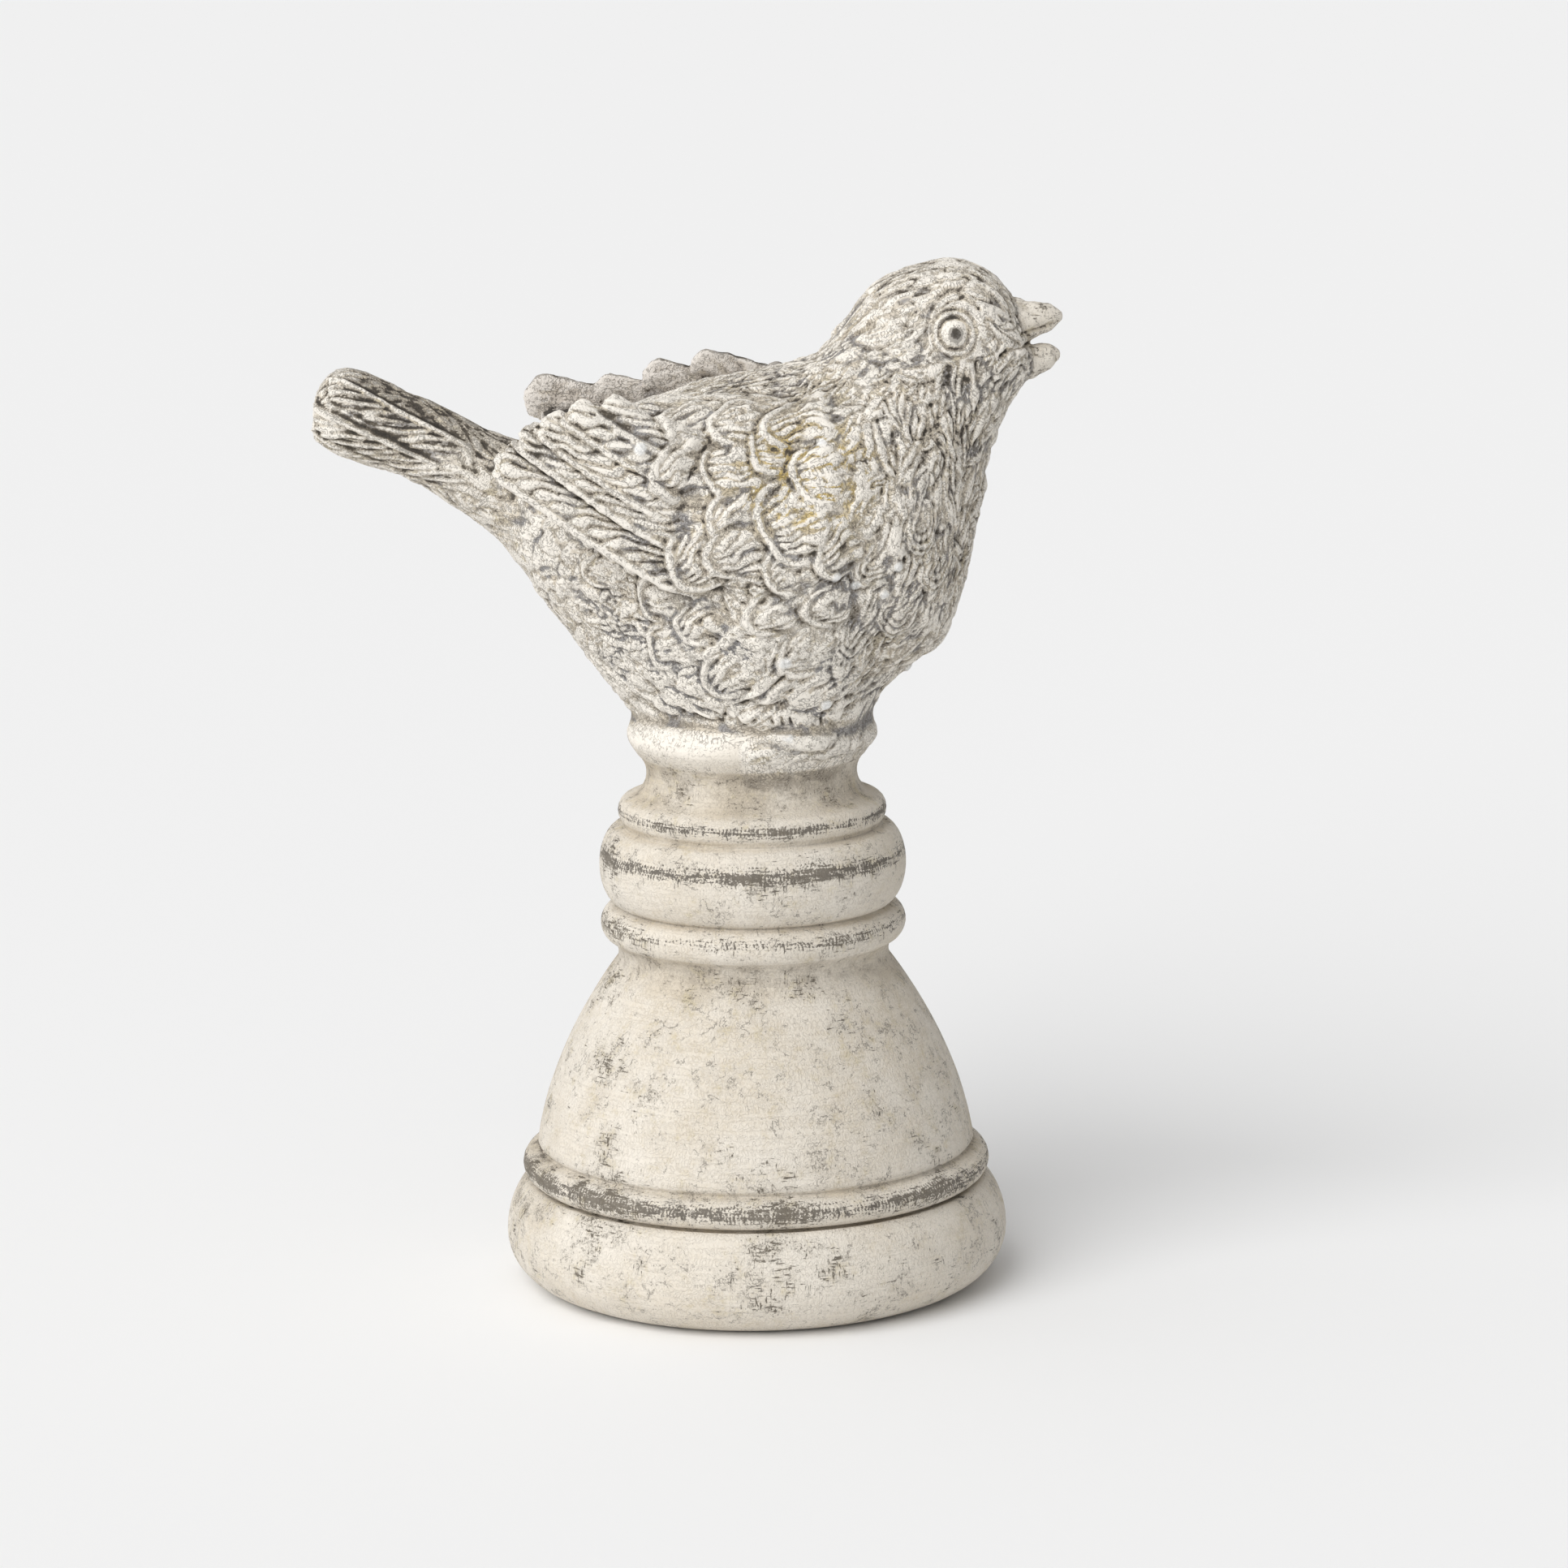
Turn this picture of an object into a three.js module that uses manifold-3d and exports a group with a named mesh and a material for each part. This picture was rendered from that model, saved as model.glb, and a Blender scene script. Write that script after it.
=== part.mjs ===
// A songbird with raised head, open beak, cocked tail and half-folded wings, cast in one piece with the
// turned pedestal that it grows out of. Millimetres, +Z up, beak towards +X. The origin is the centre of
// the underside, on the pedestal's axis.
import * as THREE from 'three';
import { mergeVertices } from 'three/addons/utils/BufferGeometryUtils.js';
import Module from 'manifold-3d';

const wasm = await Module();
wasm.setup();

// Driving dimensions of the pedestal: heights above the ground and radii about the axis.
const PEDESTAL_SIDES = 30;
const FOOT_RADIUS = 63;
const CUSHION_RADIUS = 80.7;
const CUSHION_HEIGHT = 16.5;
const CUSHION_SHOULDER = 22;
const LOWER_GROOVE = { radius: 68.8, height: 33.4 };
const BEAD = { radius: 70.6, height: 38.8, roll: 4.8 };
const UPPER_GROOVE = { radius: 69, height: 44.6 };
const DOME_FOOT = { radius: 70.2, height: 46.5 };
const DOME_NECK = { radius: 43.2, height: 106.5 };
const DOME_HANDLES = [[68, 62], [58.5, 86]];
const COLLAR = { radius: 44.2, height: 117.6, bulge: 4.7, rise: 5.4 };
const COLLAR_GROOVE = { radius: 43.6, height: 123.5 };
const TORUS = { radius: 42, height: 136.4, bulge: 7.1, rise: 12.7 };
const TORUS_GROOVE = { radius: 41.2, height: 149.4 };
const CAP_RING = { radius: 39.6, height: 154, bulge: 3, rise: 4.3 };
const COVE = { radius: 40.2, height: 166.2, bulge: 7, rise: 8 };
const TOP_RING = { radius: 34.5, height: 179.5, bulge: 5, rise: 6 };

// The bird's side outline, from the tail's end to the root of the beak: upper point, lower point, half
// width, and how far the widest place sits above the middle of the section.
const BODY_SIDES = 14;
const BODY_STEPS = 26;
const BODY = [
  { top: [-135.5, 291], bottom: [-137, 275], half: 13, lean: 0 },
  { top: [-128.5, 297], bottom: [-130, 269.6], half: 16, lean: 0 },
  { top: [-103.5, 287.3], bottom: [-107, 261], half: 14.5, lean: 0 },
  { top: [-72, 272.6], bottom: [-83, 243.9], half: 14, lean: 0.05 },
  { top: [-57, 274], bottom: [-65.5, 221.6], half: 27, lean: 0.15 },
  { top: [-33.6, 284.5], bottom: [-45, 194], half: 41, lean: 0.3 },
  { top: [-10.6, 291.5], bottom: [-20, 165], half: 50, lean: 0.35 },
  { top: [9.8, 294.5], bottom: [5, 154], half: 53, lean: 0.35 },
  { top: [21.3, 297.5], bottom: [28, 168], half: 52.5, lean: 0.33 },
  { top: [23, 299.5], bottom: [40, 194], half: 51.5, lean: 0.22 },
  { top: [25.2, 302], bottom: [60, 211.5], half: 48, lean: 0.1 },
  { top: [28, 305.5], bottom: [71.8, 246.2], half: 40, lean: 0 },
  { top: [31.9, 311], bottom: [77, 271.2], half: 31, lean: -0.05 },
  { top: [38.6, 321.8], bottom: [83.3, 283.8], half: 25, lean: 0 },
  { top: [51.6, 328.6], bottom: [86.6, 289.6], half: 22.8, lean: 0 },
  { top: [66.1, 330.8], bottom: [88.6, 292], half: 20, lean: 0 },
  { top: [77.2, 326], bottom: [89.9, 293.2], half: 15, lean: 0 },
  { top: [83.9, 317.2], bottom: [90.7, 295.3], half: 9, lean: 0 },
];
const BEAK_SIDES = 8;
const UPPER_BEAK_STEPS = 5;
const LOWER_BEAK_STEPS = 4;
const UPPER_BEAK = [
  { top: [81, 318], bottom: [82, 302.5], half: 9, lean: 0 },
  { top: [88.6, 316.4], bottom: [87.6, 302.8], half: 6.6, lean: 0 },
  { top: [94.5, 315.2], bottom: [93, 306.3], half: 4.4, lean: 0 },
  { top: [99, 312.4], bottom: [98.4, 310], half: 1.4, lean: 0 },
];
const LOWER_BEAK = [
  { top: [81, 300.5], bottom: [85, 291], half: 8, lean: 0 },
  { top: [88.6, 301.6], bottom: [89.5, 293], half: 6.2, lean: 0 },
  { top: [93.6, 302], bottom: [93.6, 295], half: 4.8, lean: 0 },
  { top: [98, 300.2], bottom: [97.3, 297], half: 1.8, lean: 0 },
];

// One wing, from the shoulder to the tip: upper and lower edge as points in space, and thickness.
const WING = [
  { top: [38, -31, 274], bottom: [37, -40, 248], thick: 12 },
  { top: [22, -28, 287], bottom: [19, -46, 234], thick: 28 },
  { top: [0, -28, 290.5], bottom: [-3, -47, 229], thick: 38 },
  { top: [-22, -31, 291], bottom: [-20, -51, 233], thick: 34 },
  { top: [-42, -40, 290], bottom: [-38, -54, 243], thick: 22 },
  { top: [-58, -47, 286], bottom: [-57, -54, 257], thick: 13 },
  { top: [-71, -50, 280.5], bottom: [-72, -53, 272], thick: 6 },
];
const WING_STEPS = 10;
const WING_SIDES = 10;
const PRIMARIES = 5;
const PRIMARY = { width: 12.5, rise: 3, root: [-14, -59, 236], tip: [-77.5, -54, 277.5] };
const PRIMARY_STEP = { root: [-2, 1, 9.8], tip: [8, 1.6, 4] };

// The left wing is held a little higher and more closed behind the shoulder than the right one.
const LEFT_WING = { lift: 3, close: 0.6, shoulder: -8, tip: -72 };
const COVERTS = {
  rows: 4, columns: 3, start: 0.46, columnStep: 0.12, stagger: 0.05, lowest: 0.74, rowStep: 0.17,
  length: 21, width: 17.5, thick: 4, tilt: 0.17,
};

// Feathers along each side of the tail: places on the body loft, angles as parts of a half turn.
const TAIL_FEATHERS = 3;
const TAIL_FEATHER = { width: 13, rise: 2.2, root: 0.175, tip: 0.02, notch: 0.012, first: 0.15, step: 0.25 };
const TUFT = { length: 14, width: 12.5, thick: 3, tilt: 0.15, spacing: 1.1 };

// A shingle's outline in parts of its width and length, and the share of its thickness under the surface.
const SHINGLE_LEAF = [[0, -0.5], [0.48, 0], [0.28, 0.46], [-0.28, 0.46], [-0.48, 0]];
const SHINGLE_SINK = 0.6;

// A long feather's five-cornered section in parts of half its width and of its rise, and how both grow
// from root to tip along half waves.
const FEATHER_SECTION = [[-1, -0.9], [1, -0.9], [0.85, 0.45], [0, 1], [-0.85, 0.45]];
const FEATHER_SWELL = {
  from: 0.12, to: 0.92, bend: 0.8, least: 0.25, rootRise: 0.25, riseFrom: 0.1, riseTo: 0.72,
};
const LONG_STEPS = 4;

// Rows of tufts on the body: station along the outline, first and last angle from the crest as parts of
// a half turn, and size against a full tuft.
const TUFT_ROWS = [
  { station: 15.2, from: 0.66, to: 0.97, size: 1 },
  { station: 13.9, from: 0.62, to: 0.97, size: 1.05 },
  { station: 12.7, from: 0.1, to: 0.97, size: 1.15 },
  { station: 11.6, from: 0.08, to: 0.97, size: 1.3 },
  { station: 10.7, from: 0.08, to: 0.97, size: 1.45 },
  { station: 9.8, from: 0.48, to: 0.97, size: 1.55 },
  { station: 8.8, from: 0.54, to: 0.86, size: 1.6 },
  { station: 8.3, from: 0.06, to: 0.18, size: 1.5 },
  { station: 7.4, from: 0.58, to: 0.78, size: 1.6 },
  { station: 6.4, from: 0.06, to: 0.18, size: 1.5 },
  { station: 6.0, from: 0.56, to: 0.78, size: 1.6 },
  { station: 4.9, from: 0.1, to: 0.84, size: 1.4 },
];
const EYE = {
  station: 14.2, angle: 0.45, ring: 5.6, lid: 1.1, ball: 3.7, dome: 1.7, sink: 0.6, seat: 2.5, sides: 10,
};
const LEAF = {
  at: [14, -37, 183], along: [0.9, 0.3, -0.25], out: [0.3, -0.95, 0.1],
  length: 30, width: 15, rise: 3, steps: 3,
};

// The whole bird is turned a little to its right about the pedestal's axis.
const TURN = THREE.MathUtils.degToRad(-3);

// Edges under the first length are merged away, corners nearer than the second count as one, and the
// third is the step along a loft's parameters that its tangents are taken over.
const SMALLEST_EDGE = 0.4;
const SAME_POINT = 1e-4;
const FINE_STEP = 0.01;

// A point list for an elliptical arc in the profile plane, angles in degrees from the outward direction.
function arc(radius, height, across, up, from, to, steps) {
  const points = [];
  for (let i = 0; i <= steps; i += 1) {
    const angle = THREE.MathUtils.degToRad(from + ((to - from) * i) / steps);
    points.push(new THREE.Vector2(radius + across * Math.cos(angle), height + up * Math.sin(angle)));
  }
  return points;
}

function pedestal() {
  const across = CUSHION_RADIUS - FOOT_RADIUS;
  const dome = new THREE.CubicBezierCurve(
    new THREE.Vector2(DOME_FOOT.radius, DOME_FOOT.height),
    new THREE.Vector2(...DOME_HANDLES[0]),
    new THREE.Vector2(...DOME_HANDLES[1]),
    new THREE.Vector2(DOME_NECK.radius, DOME_NECK.height),
  );
  const profile = [
    new THREE.Vector2(0, 0),
    new THREE.Vector2(FOOT_RADIUS, 0),
    ...arc(FOOT_RADIUS, CUSHION_HEIGHT, across, CUSHION_HEIGHT, -60, 0, 2),
    ...arc(FOOT_RADIUS, CUSHION_HEIGHT, across, CUSHION_SHOULDER, 20, 46, 1),
    new THREE.Vector2(LOWER_GROOVE.radius, LOWER_GROOVE.height),
    ...arc(BEAD.radius, BEAD.height, BEAD.roll, BEAD.roll, -60, 60, 2),
    new THREE.Vector2(UPPER_GROOVE.radius, UPPER_GROOVE.height),
    ...dome.getPoints(5),
    ...arc(COLLAR.radius, COLLAR.height, COLLAR.bulge, COLLAR.rise, -60, 60, 2),
    new THREE.Vector2(COLLAR_GROOVE.radius, COLLAR_GROOVE.height),
    ...arc(TORUS.radius, TORUS.height, TORUS.bulge, TORUS.rise, -65, 65, 4),
    new THREE.Vector2(TORUS_GROOVE.radius, TORUS_GROOVE.height),
    ...arc(CAP_RING.radius, CAP_RING.height, CAP_RING.bulge, CAP_RING.rise, -40, 55, 2),
    ...arc(COVE.radius, COVE.height, COVE.bulge, COVE.rise, 225, 130, 3),
    ...arc(TOP_RING.radius, TOP_RING.height, TOP_RING.bulge, TOP_RING.rise, -30, 90, 3),
    new THREE.Vector2(0, TOP_RING.height + TOP_RING.rise),
  ];
  return new THREE.LatheGeometry(profile, PEDESTAL_SIDES).rotateX(Math.PI / 2);
}

// A closed solid through a row of sections. section(t, angle) gives the surface point at t from 0 to 1.
function loft(section, steps, sides) {
  const positions = [];
  const index = [];
  const middle = new THREE.Vector3();
  for (let i = 0; i <= steps; i += 1) {
    for (let j = 0; j < sides; j += 1) {
      positions.push(...section(i / steps, (j / sides) * 2 * Math.PI));
    }
  }
  for (let i = 0; i < steps; i += 1) {
    for (let j = 0; j < sides; j += 1) {
      const a = i * sides + j;
      const b = i * sides + ((j + 1) % sides);
      index.push(a, b, a + sides, b, b + sides, a + sides);
    }
  }
  for (const end of [0, 1]) {
    middle.set(0, 0, 0);
    for (let j = 0; j < sides; j += 1) {
      middle.add(section(end, (j / sides) * 2 * Math.PI));
    }
    positions.push(...middle.divideScalar(sides));
    const centre = positions.length / 3 - 1;
    const first = end * steps * sides;
    for (let j = 0; j < sides; j += 1) {
      const edge = [first + j, first + ((j + 1) % sides)];
      index.push(...(end ? [centre, ...edge] : [centre, ...edge.reverse()]));
    }
  }
  const geometry = new THREE.BufferGeometry();
  geometry.setAttribute('position', new THREE.Float32BufferAttribute(positions, 3));
  geometry.setIndex(index);
  return geometry;
}

// Sections of the body or the beak: ellipses between the upper and lower outline.
function outlineSection(stations) {
  const tops = new THREE.CatmullRomCurve3(stations.map((s) => new THREE.Vector3(s.top[0], 0, s.top[1])));
  const bottoms = new THREE.CatmullRomCurve3(
    stations.map((s) => new THREE.Vector3(s.bottom[0], 0, s.bottom[1])),
  );
  const widths = new THREE.CatmullRomCurve3(stations.map((s) => new THREE.Vector3(s.half, s.lean, 0)));
  return (t, angle) => {
    const top = tops.getPoint(t);
    const bottom = bottoms.getPoint(t);
    const width = widths.getPoint(t);
    const point = top.clone().add(bottom).multiplyScalar(0.5);
    point.addScaledVector(top.sub(bottom), 0.5 * Math.cos(angle));
    point.y = -width.x * Math.sin(angle) * (1 + width.y * Math.cos(angle));
    return point;
  };
}

// Sections of a wing: ellipses between its edges, with the given thickness across.
function wingSection(stations) {
  const tops = new THREE.CatmullRomCurve3(stations.map((s) => new THREE.Vector3(...s.top)));
  const bottoms = new THREE.CatmullRomCurve3(stations.map((s) => new THREE.Vector3(...s.bottom)));
  const thicks = new THREE.CatmullRomCurve3(stations.map((s) => new THREE.Vector3(s.thick, 0, 0)));
  return (t, angle) => {
    const top = tops.getPoint(t);
    const bottom = bottoms.getPoint(t);
    const half = thicks.getPoint(t).x / 2;
    const chord = top.clone().sub(bottom);
    const across = new THREE.Vector3(0, -chord.z, chord.y).normalize();
    return top.add(bottom).multiplyScalar(0.5)
      .addScaledVector(chord, 0.5 * Math.cos(angle))
      .addScaledVector(across, half * Math.sin(angle));
  };
}

// The left wing's stations, before they are mirrored to their own side.
function closedWing(stations) {
  return stations.map(({ top, bottom, thick }) => {
    const reach = (LEFT_WING.shoulder - top[0]) / (LEFT_WING.shoulder - LEFT_WING.tip);
    const share = THREE.MathUtils.clamp(reach, 0, 1);
    const middle = (top[2] + bottom[2]) / 2 + LEFT_WING.lift * share;
    const half = ((top[2] - bottom[2]) / 2) * (1 - share * (1 - LEFT_WING.close));
    return { top: [top[0], top[1], middle + half], bottom: [bottom[0], bottom[1], middle - half], thick };
  });
}

// A place on a lofted surface: its point, outward normal and the direction that feathers lie in, which
// is along the loft. step is negative where the tail lies at the loft's start.
function placeOn(section, t, angle, step = -FINE_STEP) {
  const point = section(t, angle);
  const along = section(t + step, angle).sub(section(t - step, angle)).normalize();
  const around = section(t, angle + step).sub(section(t, angle - step)).normalize();
  const normal = along.clone().cross(around).normalize();
  const inside = section(t, 0).add(section(t, Math.PI)).multiplyScalar(0.5);
  if (normal.dot(point.clone().sub(inside)) < 0) {
    normal.negate();
  }
  return { point, along, normal };
}

// A feather or tuft: a tongue that starts level with the surface and is thickest near its round tip.
function feather(place, { length, width, rise }, steps) {
  const across = place.normal.clone().cross(place.along).normalize();
  const section = (t, angle) => {
    const corner = Math.round((angle / (2 * Math.PI)) * FEATHER_SECTION.length) % FEATHER_SECTION.length;
    const [side, up] = FEATHER_SECTION[corner];
    const { from, to, bend, least, rootRise, riseFrom, riseTo } = FEATHER_SWELL;
    const swell = Math.max(Math.sin(Math.PI * (from + (to - from) * t ** bend)), least);
    const climb = Math.sin(Math.PI * (riseFrom + (riseTo - riseFrom) * t));
    return place.point.clone()
      .addScaledVector(place.along, length * (t - 0.5))
      .addScaledVector(across, (width / 2) * side * swell)
      .addScaledVector(place.normal, rise * up * (rootRise + (1 - rootRise) * climb));
  };
  return loft(section, steps, FEATHER_SECTION.length);
}

// A shingle: a flat leaf that lies in the surface, tilted so that its round end stands proud.
function shingle(place, { length, width, thick, tilt }) {
  const leaf = new THREE.Shape(SHINGLE_LEAF.map(([x, y]) => new THREE.Vector2(x * width, y * length)));
  const across = place.along.clone().cross(place.normal).normalize();
  const frame = new THREE.Matrix4().makeBasis(across, place.along, place.normal);
  return new THREE.ExtrudeGeometry(leaf, { depth: thick, steps: 1, bevelEnabled: false })
    .translate(0, 0, -SHINGLE_SINK * thick).rotateX(tilt).applyMatrix4(frame)
    .translate(place.point.x, place.point.y, place.point.z);
}

// The eye: a round lid ring with a domed ball inside it, turned about the surface's normal.
function eye(place) {
  const profile = [
    [0, -EYE.seat], [EYE.ring + EYE.lid, -EYE.seat], [EYE.ring + EYE.lid, 0], [EYE.ring, EYE.lid],
    [EYE.ball + EYE.lid, 0], [EYE.ball, EYE.dome / 2], [EYE.ball / 2, EYE.dome], [0, EYE.dome * 1.2],
  ].map((p) => new THREE.Vector2(...p));
  const turn = new THREE.Quaternion().setFromUnitVectors(new THREE.Vector3(0, 1, 0), place.normal);
  return new THREE.LatheGeometry(profile, EYE.sides).applyQuaternion(turn)
    .translate(place.point.x, place.point.y, place.point.z);
}

// A copy with positions only, so that shared corners can be merged.
function bare(geometry) {
  const copy = geometry.clone();
  copy.deleteAttribute('normal');
  copy.deleteAttribute('uv');
  return copy;
}

function mirrored(geometry) {
  const copy = mergeVertices(bare(geometry).scale(1, -1, 1), SAME_POINT);
  const index = copy.index.array;
  for (let i = 0; i < index.length; i += 3) {
    [index[i], index[i + 1]] = [index[i + 1], index[i]];
  }
  return copy;
}

function primaries(lift, close) {
  const pieces = [];
  const spread = new THREE.Vector3(1, 1, close);
  for (let i = 0; i < PRIMARIES; i += 1) {
    const root = new THREE.Vector3(...PRIMARY.root)
      .addScaledVector(new THREE.Vector3(...PRIMARY_STEP.root), i);
    const tip = new THREE.Vector3(...PRIMARY.tip)
      .addScaledVector(new THREE.Vector3(...PRIMARY_STEP.tip).multiply(spread), i);
    tip.z += lift;
    const along = tip.clone().sub(root);
    const length = along.length();
    along.normalize();
    const normal = new THREE.Vector3(0, -1, 0).addScaledVector(along, along.y).normalize();
    const point = root.add(tip).multiplyScalar(0.5);
    pieces.push(feather({ point, along, normal }, { ...PRIMARY, length }, LONG_STEPS));
  }
  return pieces;
}

function coverts(wing) {
  const pieces = [];
  for (let row = 0; row < COVERTS.rows; row += 1) {
    for (let column = 0; column < COVERTS.columns; column += 1) {
      const t = COVERTS.start - COVERTS.columnStep * column - COVERTS.stagger * (row % 2);
      const angle = Math.PI * (COVERTS.lowest - COVERTS.rowStep * row);
      pieces.push(shingle(placeOn(wing, t, angle, FINE_STEP), COVERTS));
    }
  }
  return pieces;
}

function tailFeathers(body) {
  const pieces = [];
  for (let i = 0; i < TAIL_FEATHERS; i += 1) {
    const angle = Math.PI * (TAIL_FEATHER.first + TAIL_FEATHER.step * i);
    const tip = placeOn(body, TAIL_FEATHER.tip + TAIL_FEATHER.notch * Math.abs(i - 1), angle);
    const root = placeOn(body, TAIL_FEATHER.root, angle);
    const along = tip.point.clone().sub(root.point);
    const length = along.length();
    const point = tip.point.clone().add(root.point).multiplyScalar(0.5);
    const place = { point, along: along.normalize(), normal: tip.normal };
    pieces.push(feather(place, { ...TAIL_FEATHER, length }, LONG_STEPS));
  }
  return pieces;
}

function tufts(body) {
  const pieces = [];
  TUFT_ROWS.forEach((row, r) => {
    const t = row.station / (BODY.length - 1);
    const size = {
      length: TUFT.length * row.size,
      width: TUFT.width * row.size,
      thick: TUFT.thick,
      tilt: TUFT.tilt,
    };
    const halfway = body(t, (Math.PI * (row.from + row.to)) / 2);
    const girth = body(t, Math.PI * row.from).distanceTo(halfway)
      + halfway.distanceTo(body(t, Math.PI * row.to));
    const count = Math.max(1, Math.round(girth / (size.width * TUFT.spacing)));
    for (let i = 0; i < count; i += 1) {
      const share = (i + (r % 2 ? 0.25 : 0.75)) / count;
      const angle = Math.PI * (row.from + (row.to - row.from) * share);
      pieces.push(shingle(placeOn(body, t, angle), size));
    }
  });
  return pieces;
}

function solid(geometry) {
  const merged = mergeVertices(bare(geometry), SAME_POINT);
  return new wasm.Manifold(new wasm.Mesh({
    numProp: 3,
    vertProperties: new Float32Array(merged.attributes.position.array),
    triVerts: new Uint32Array(merged.index.array),
  }));
}

function geometryOf(manifold) {
  const mesh = manifold.getMesh();
  const geometry = new THREE.BufferGeometry();
  geometry.setAttribute('position', new THREE.BufferAttribute(mesh.vertProperties, 3));
  geometry.setIndex(new THREE.BufferAttribute(mesh.triVerts, 1));
  return geometry;
}

function wholeWing(stations, lift, close) {
  const wing = wingSection(stations);
  return [
    loft((t, angle) => wing(1 - t, angle), WING_STEPS, WING_SIDES),
    ...primaries(lift, close),
    ...coverts(wing),
  ];
}

function bird() {
  const body = outlineSection(BODY);
  const eyePlace = placeOn(body, EYE.station / (BODY.length - 1), Math.PI * EYE.angle);
  eyePlace.point.addScaledVector(eyePlace.normal, -EYE.sink);
  const leafPlace = {
    point: new THREE.Vector3(...LEAF.at),
    along: new THREE.Vector3(...LEAF.along).normalize(),
    normal: new THREE.Vector3(...LEAF.out).normalize(),
  };
  const leaf = feather(leafPlace, LEAF, LEAF.steps);
  const rightSide = [eye(eyePlace), leaf, ...tailFeathers(body), ...tufts(body)];
  const rightWing = wholeWing(WING, 0, 1);
  const leftWing = wholeWing(closedWing(WING), 2 * LEFT_WING.lift, LEFT_WING.close / 2);
  const pieces = [
    loft(body, BODY_STEPS, BODY_SIDES),
    loft(outlineSection(UPPER_BEAK), UPPER_BEAK_STEPS, BEAK_SIDES),
    loft(outlineSection(LOWER_BEAK), LOWER_BEAK_STEPS, BEAK_SIDES),
    ...rightSide,
    ...rightWing,
    ...[...rightSide, ...leftWing].map(mirrored),
  ];
  return pieces.map((piece) => piece.rotateZ(TURN));
}

// The casting's outer skin. Small hollows that the feathers would seal between them are filled.
const joined = bird().reduce((whole, piece) => whole.add(solid(piece)), solid(pedestal()));
const skins = joined.simplify(SMALLEST_EDGE).decompose();
const casting = skins.reduce((largest, skin) => (skin.volume() > largest.volume() ? skin : largest));

const statue = new THREE.Mesh(
  geometryOf(casting),
  new THREE.MeshStandardMaterial({ color: 0xddd6c8, roughness: 0.85, metalness: 0 }),
);
statue.name = 'bird_statue';

const model = new THREE.Group();
model.add(statue);

export default model;
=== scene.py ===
import math
from functools import partial, partialmethod

import bpy
import numpy as np
from mathutils import Matrix, Vector
from mathutils.kdtree import KDTree


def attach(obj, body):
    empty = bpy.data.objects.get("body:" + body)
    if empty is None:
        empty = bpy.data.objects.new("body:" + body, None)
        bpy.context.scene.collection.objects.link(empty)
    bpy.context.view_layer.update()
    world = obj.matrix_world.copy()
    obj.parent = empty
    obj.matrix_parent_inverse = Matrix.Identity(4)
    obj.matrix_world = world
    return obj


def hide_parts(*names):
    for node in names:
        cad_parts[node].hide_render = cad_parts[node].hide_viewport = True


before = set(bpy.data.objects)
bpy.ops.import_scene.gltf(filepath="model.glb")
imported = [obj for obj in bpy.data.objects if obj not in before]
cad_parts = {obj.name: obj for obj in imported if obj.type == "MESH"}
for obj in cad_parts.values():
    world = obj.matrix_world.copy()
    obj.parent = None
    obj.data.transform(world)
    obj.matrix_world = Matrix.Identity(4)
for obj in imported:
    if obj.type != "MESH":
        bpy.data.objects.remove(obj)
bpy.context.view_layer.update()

# The pedestal: the lower half of the resin casting, with the profile of a turned baluster. It is a
# profile turned about the upright axis. Sizes are millimetres: radii, and heights above the ground.

pedestal_sides = 150
foot_radius = 63.0
unevenness = 0.7


def bulge(radius, height, out, up, first, last, count):
    """Points along part of an oval, with angles in degrees from the outward direction."""
    angles = np.radians(np.linspace(first, last, count))
    return np.stack([radius + out * np.cos(angles), height + up * np.sin(angles)], 1)


def swept(start, pull_start, pull_end, end, count):
    """Points along a cubic curve between two points, pulled towards two others."""
    t = np.linspace(0, 1, count)[:, None]
    points = [np.array(p, float) for p in (start, pull_start, pull_end, end)]
    shares = [(1 - t) ** 3, 3 * t * (1 - t) ** 2, 3 * t * t * (1 - t), t ** 3]
    return sum(share * point for share, point in zip(shares, points))


profile = np.vstack([
    [[0, 0], [foot_radius - 22, 0]],
    bulge(foot_radius, 16.5, 17.7, 16.5, -84, 0, 12),         # cushion, lower half
    bulge(foot_radius, 16.5, 17.7, 22.0, 8, 52, 8),           # cushion, upper half
    [[69.9, 33.0], [68.9, 33.5], [69.4, 34.2]],               # lower groove
    bulge(70.2, 38.9, 5.0, 4.7, -75, 75, 9),                  # bead
    [[69.6, 44.2], [68.9, 44.7], [69.5, 45.3]],               # upper groove
    swept([70.2, 46.2], [68.3, 61.5], [58.8, 86], [43.4, 106.2], 22),   # dome
    swept([43.4, 106.2], [43.0, 109.5], [43.6, 111.4], [46.2, 112.8], 5)[1:],
    bulge(44.2, 117.6, 4.7, 5.4, -50, 66, 9),                 # collar
    [[44.4, 123.4], [43.4, 123.9], [43.9, 124.6]],            # collar groove
    bulge(42.0, 136.4, 7.1, 12.7, -68, 68, 14),               # great ring
    [[42.3, 148.9], [40.9, 149.4], [41.3, 150.0]],            # ring groove
    bulge(39.6, 154.0, 3.2, 4.2, -58, 62, 7),                 # cap ring
    bulge(41.2, 166.2, 7.6, 8.2, 232, 128, 10),               # hollow neck
    bulge(34.5, 179.5, 5.2, 6.2, -42, 90, 10),                # top ring
    [[0, 185.7]],
])


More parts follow.
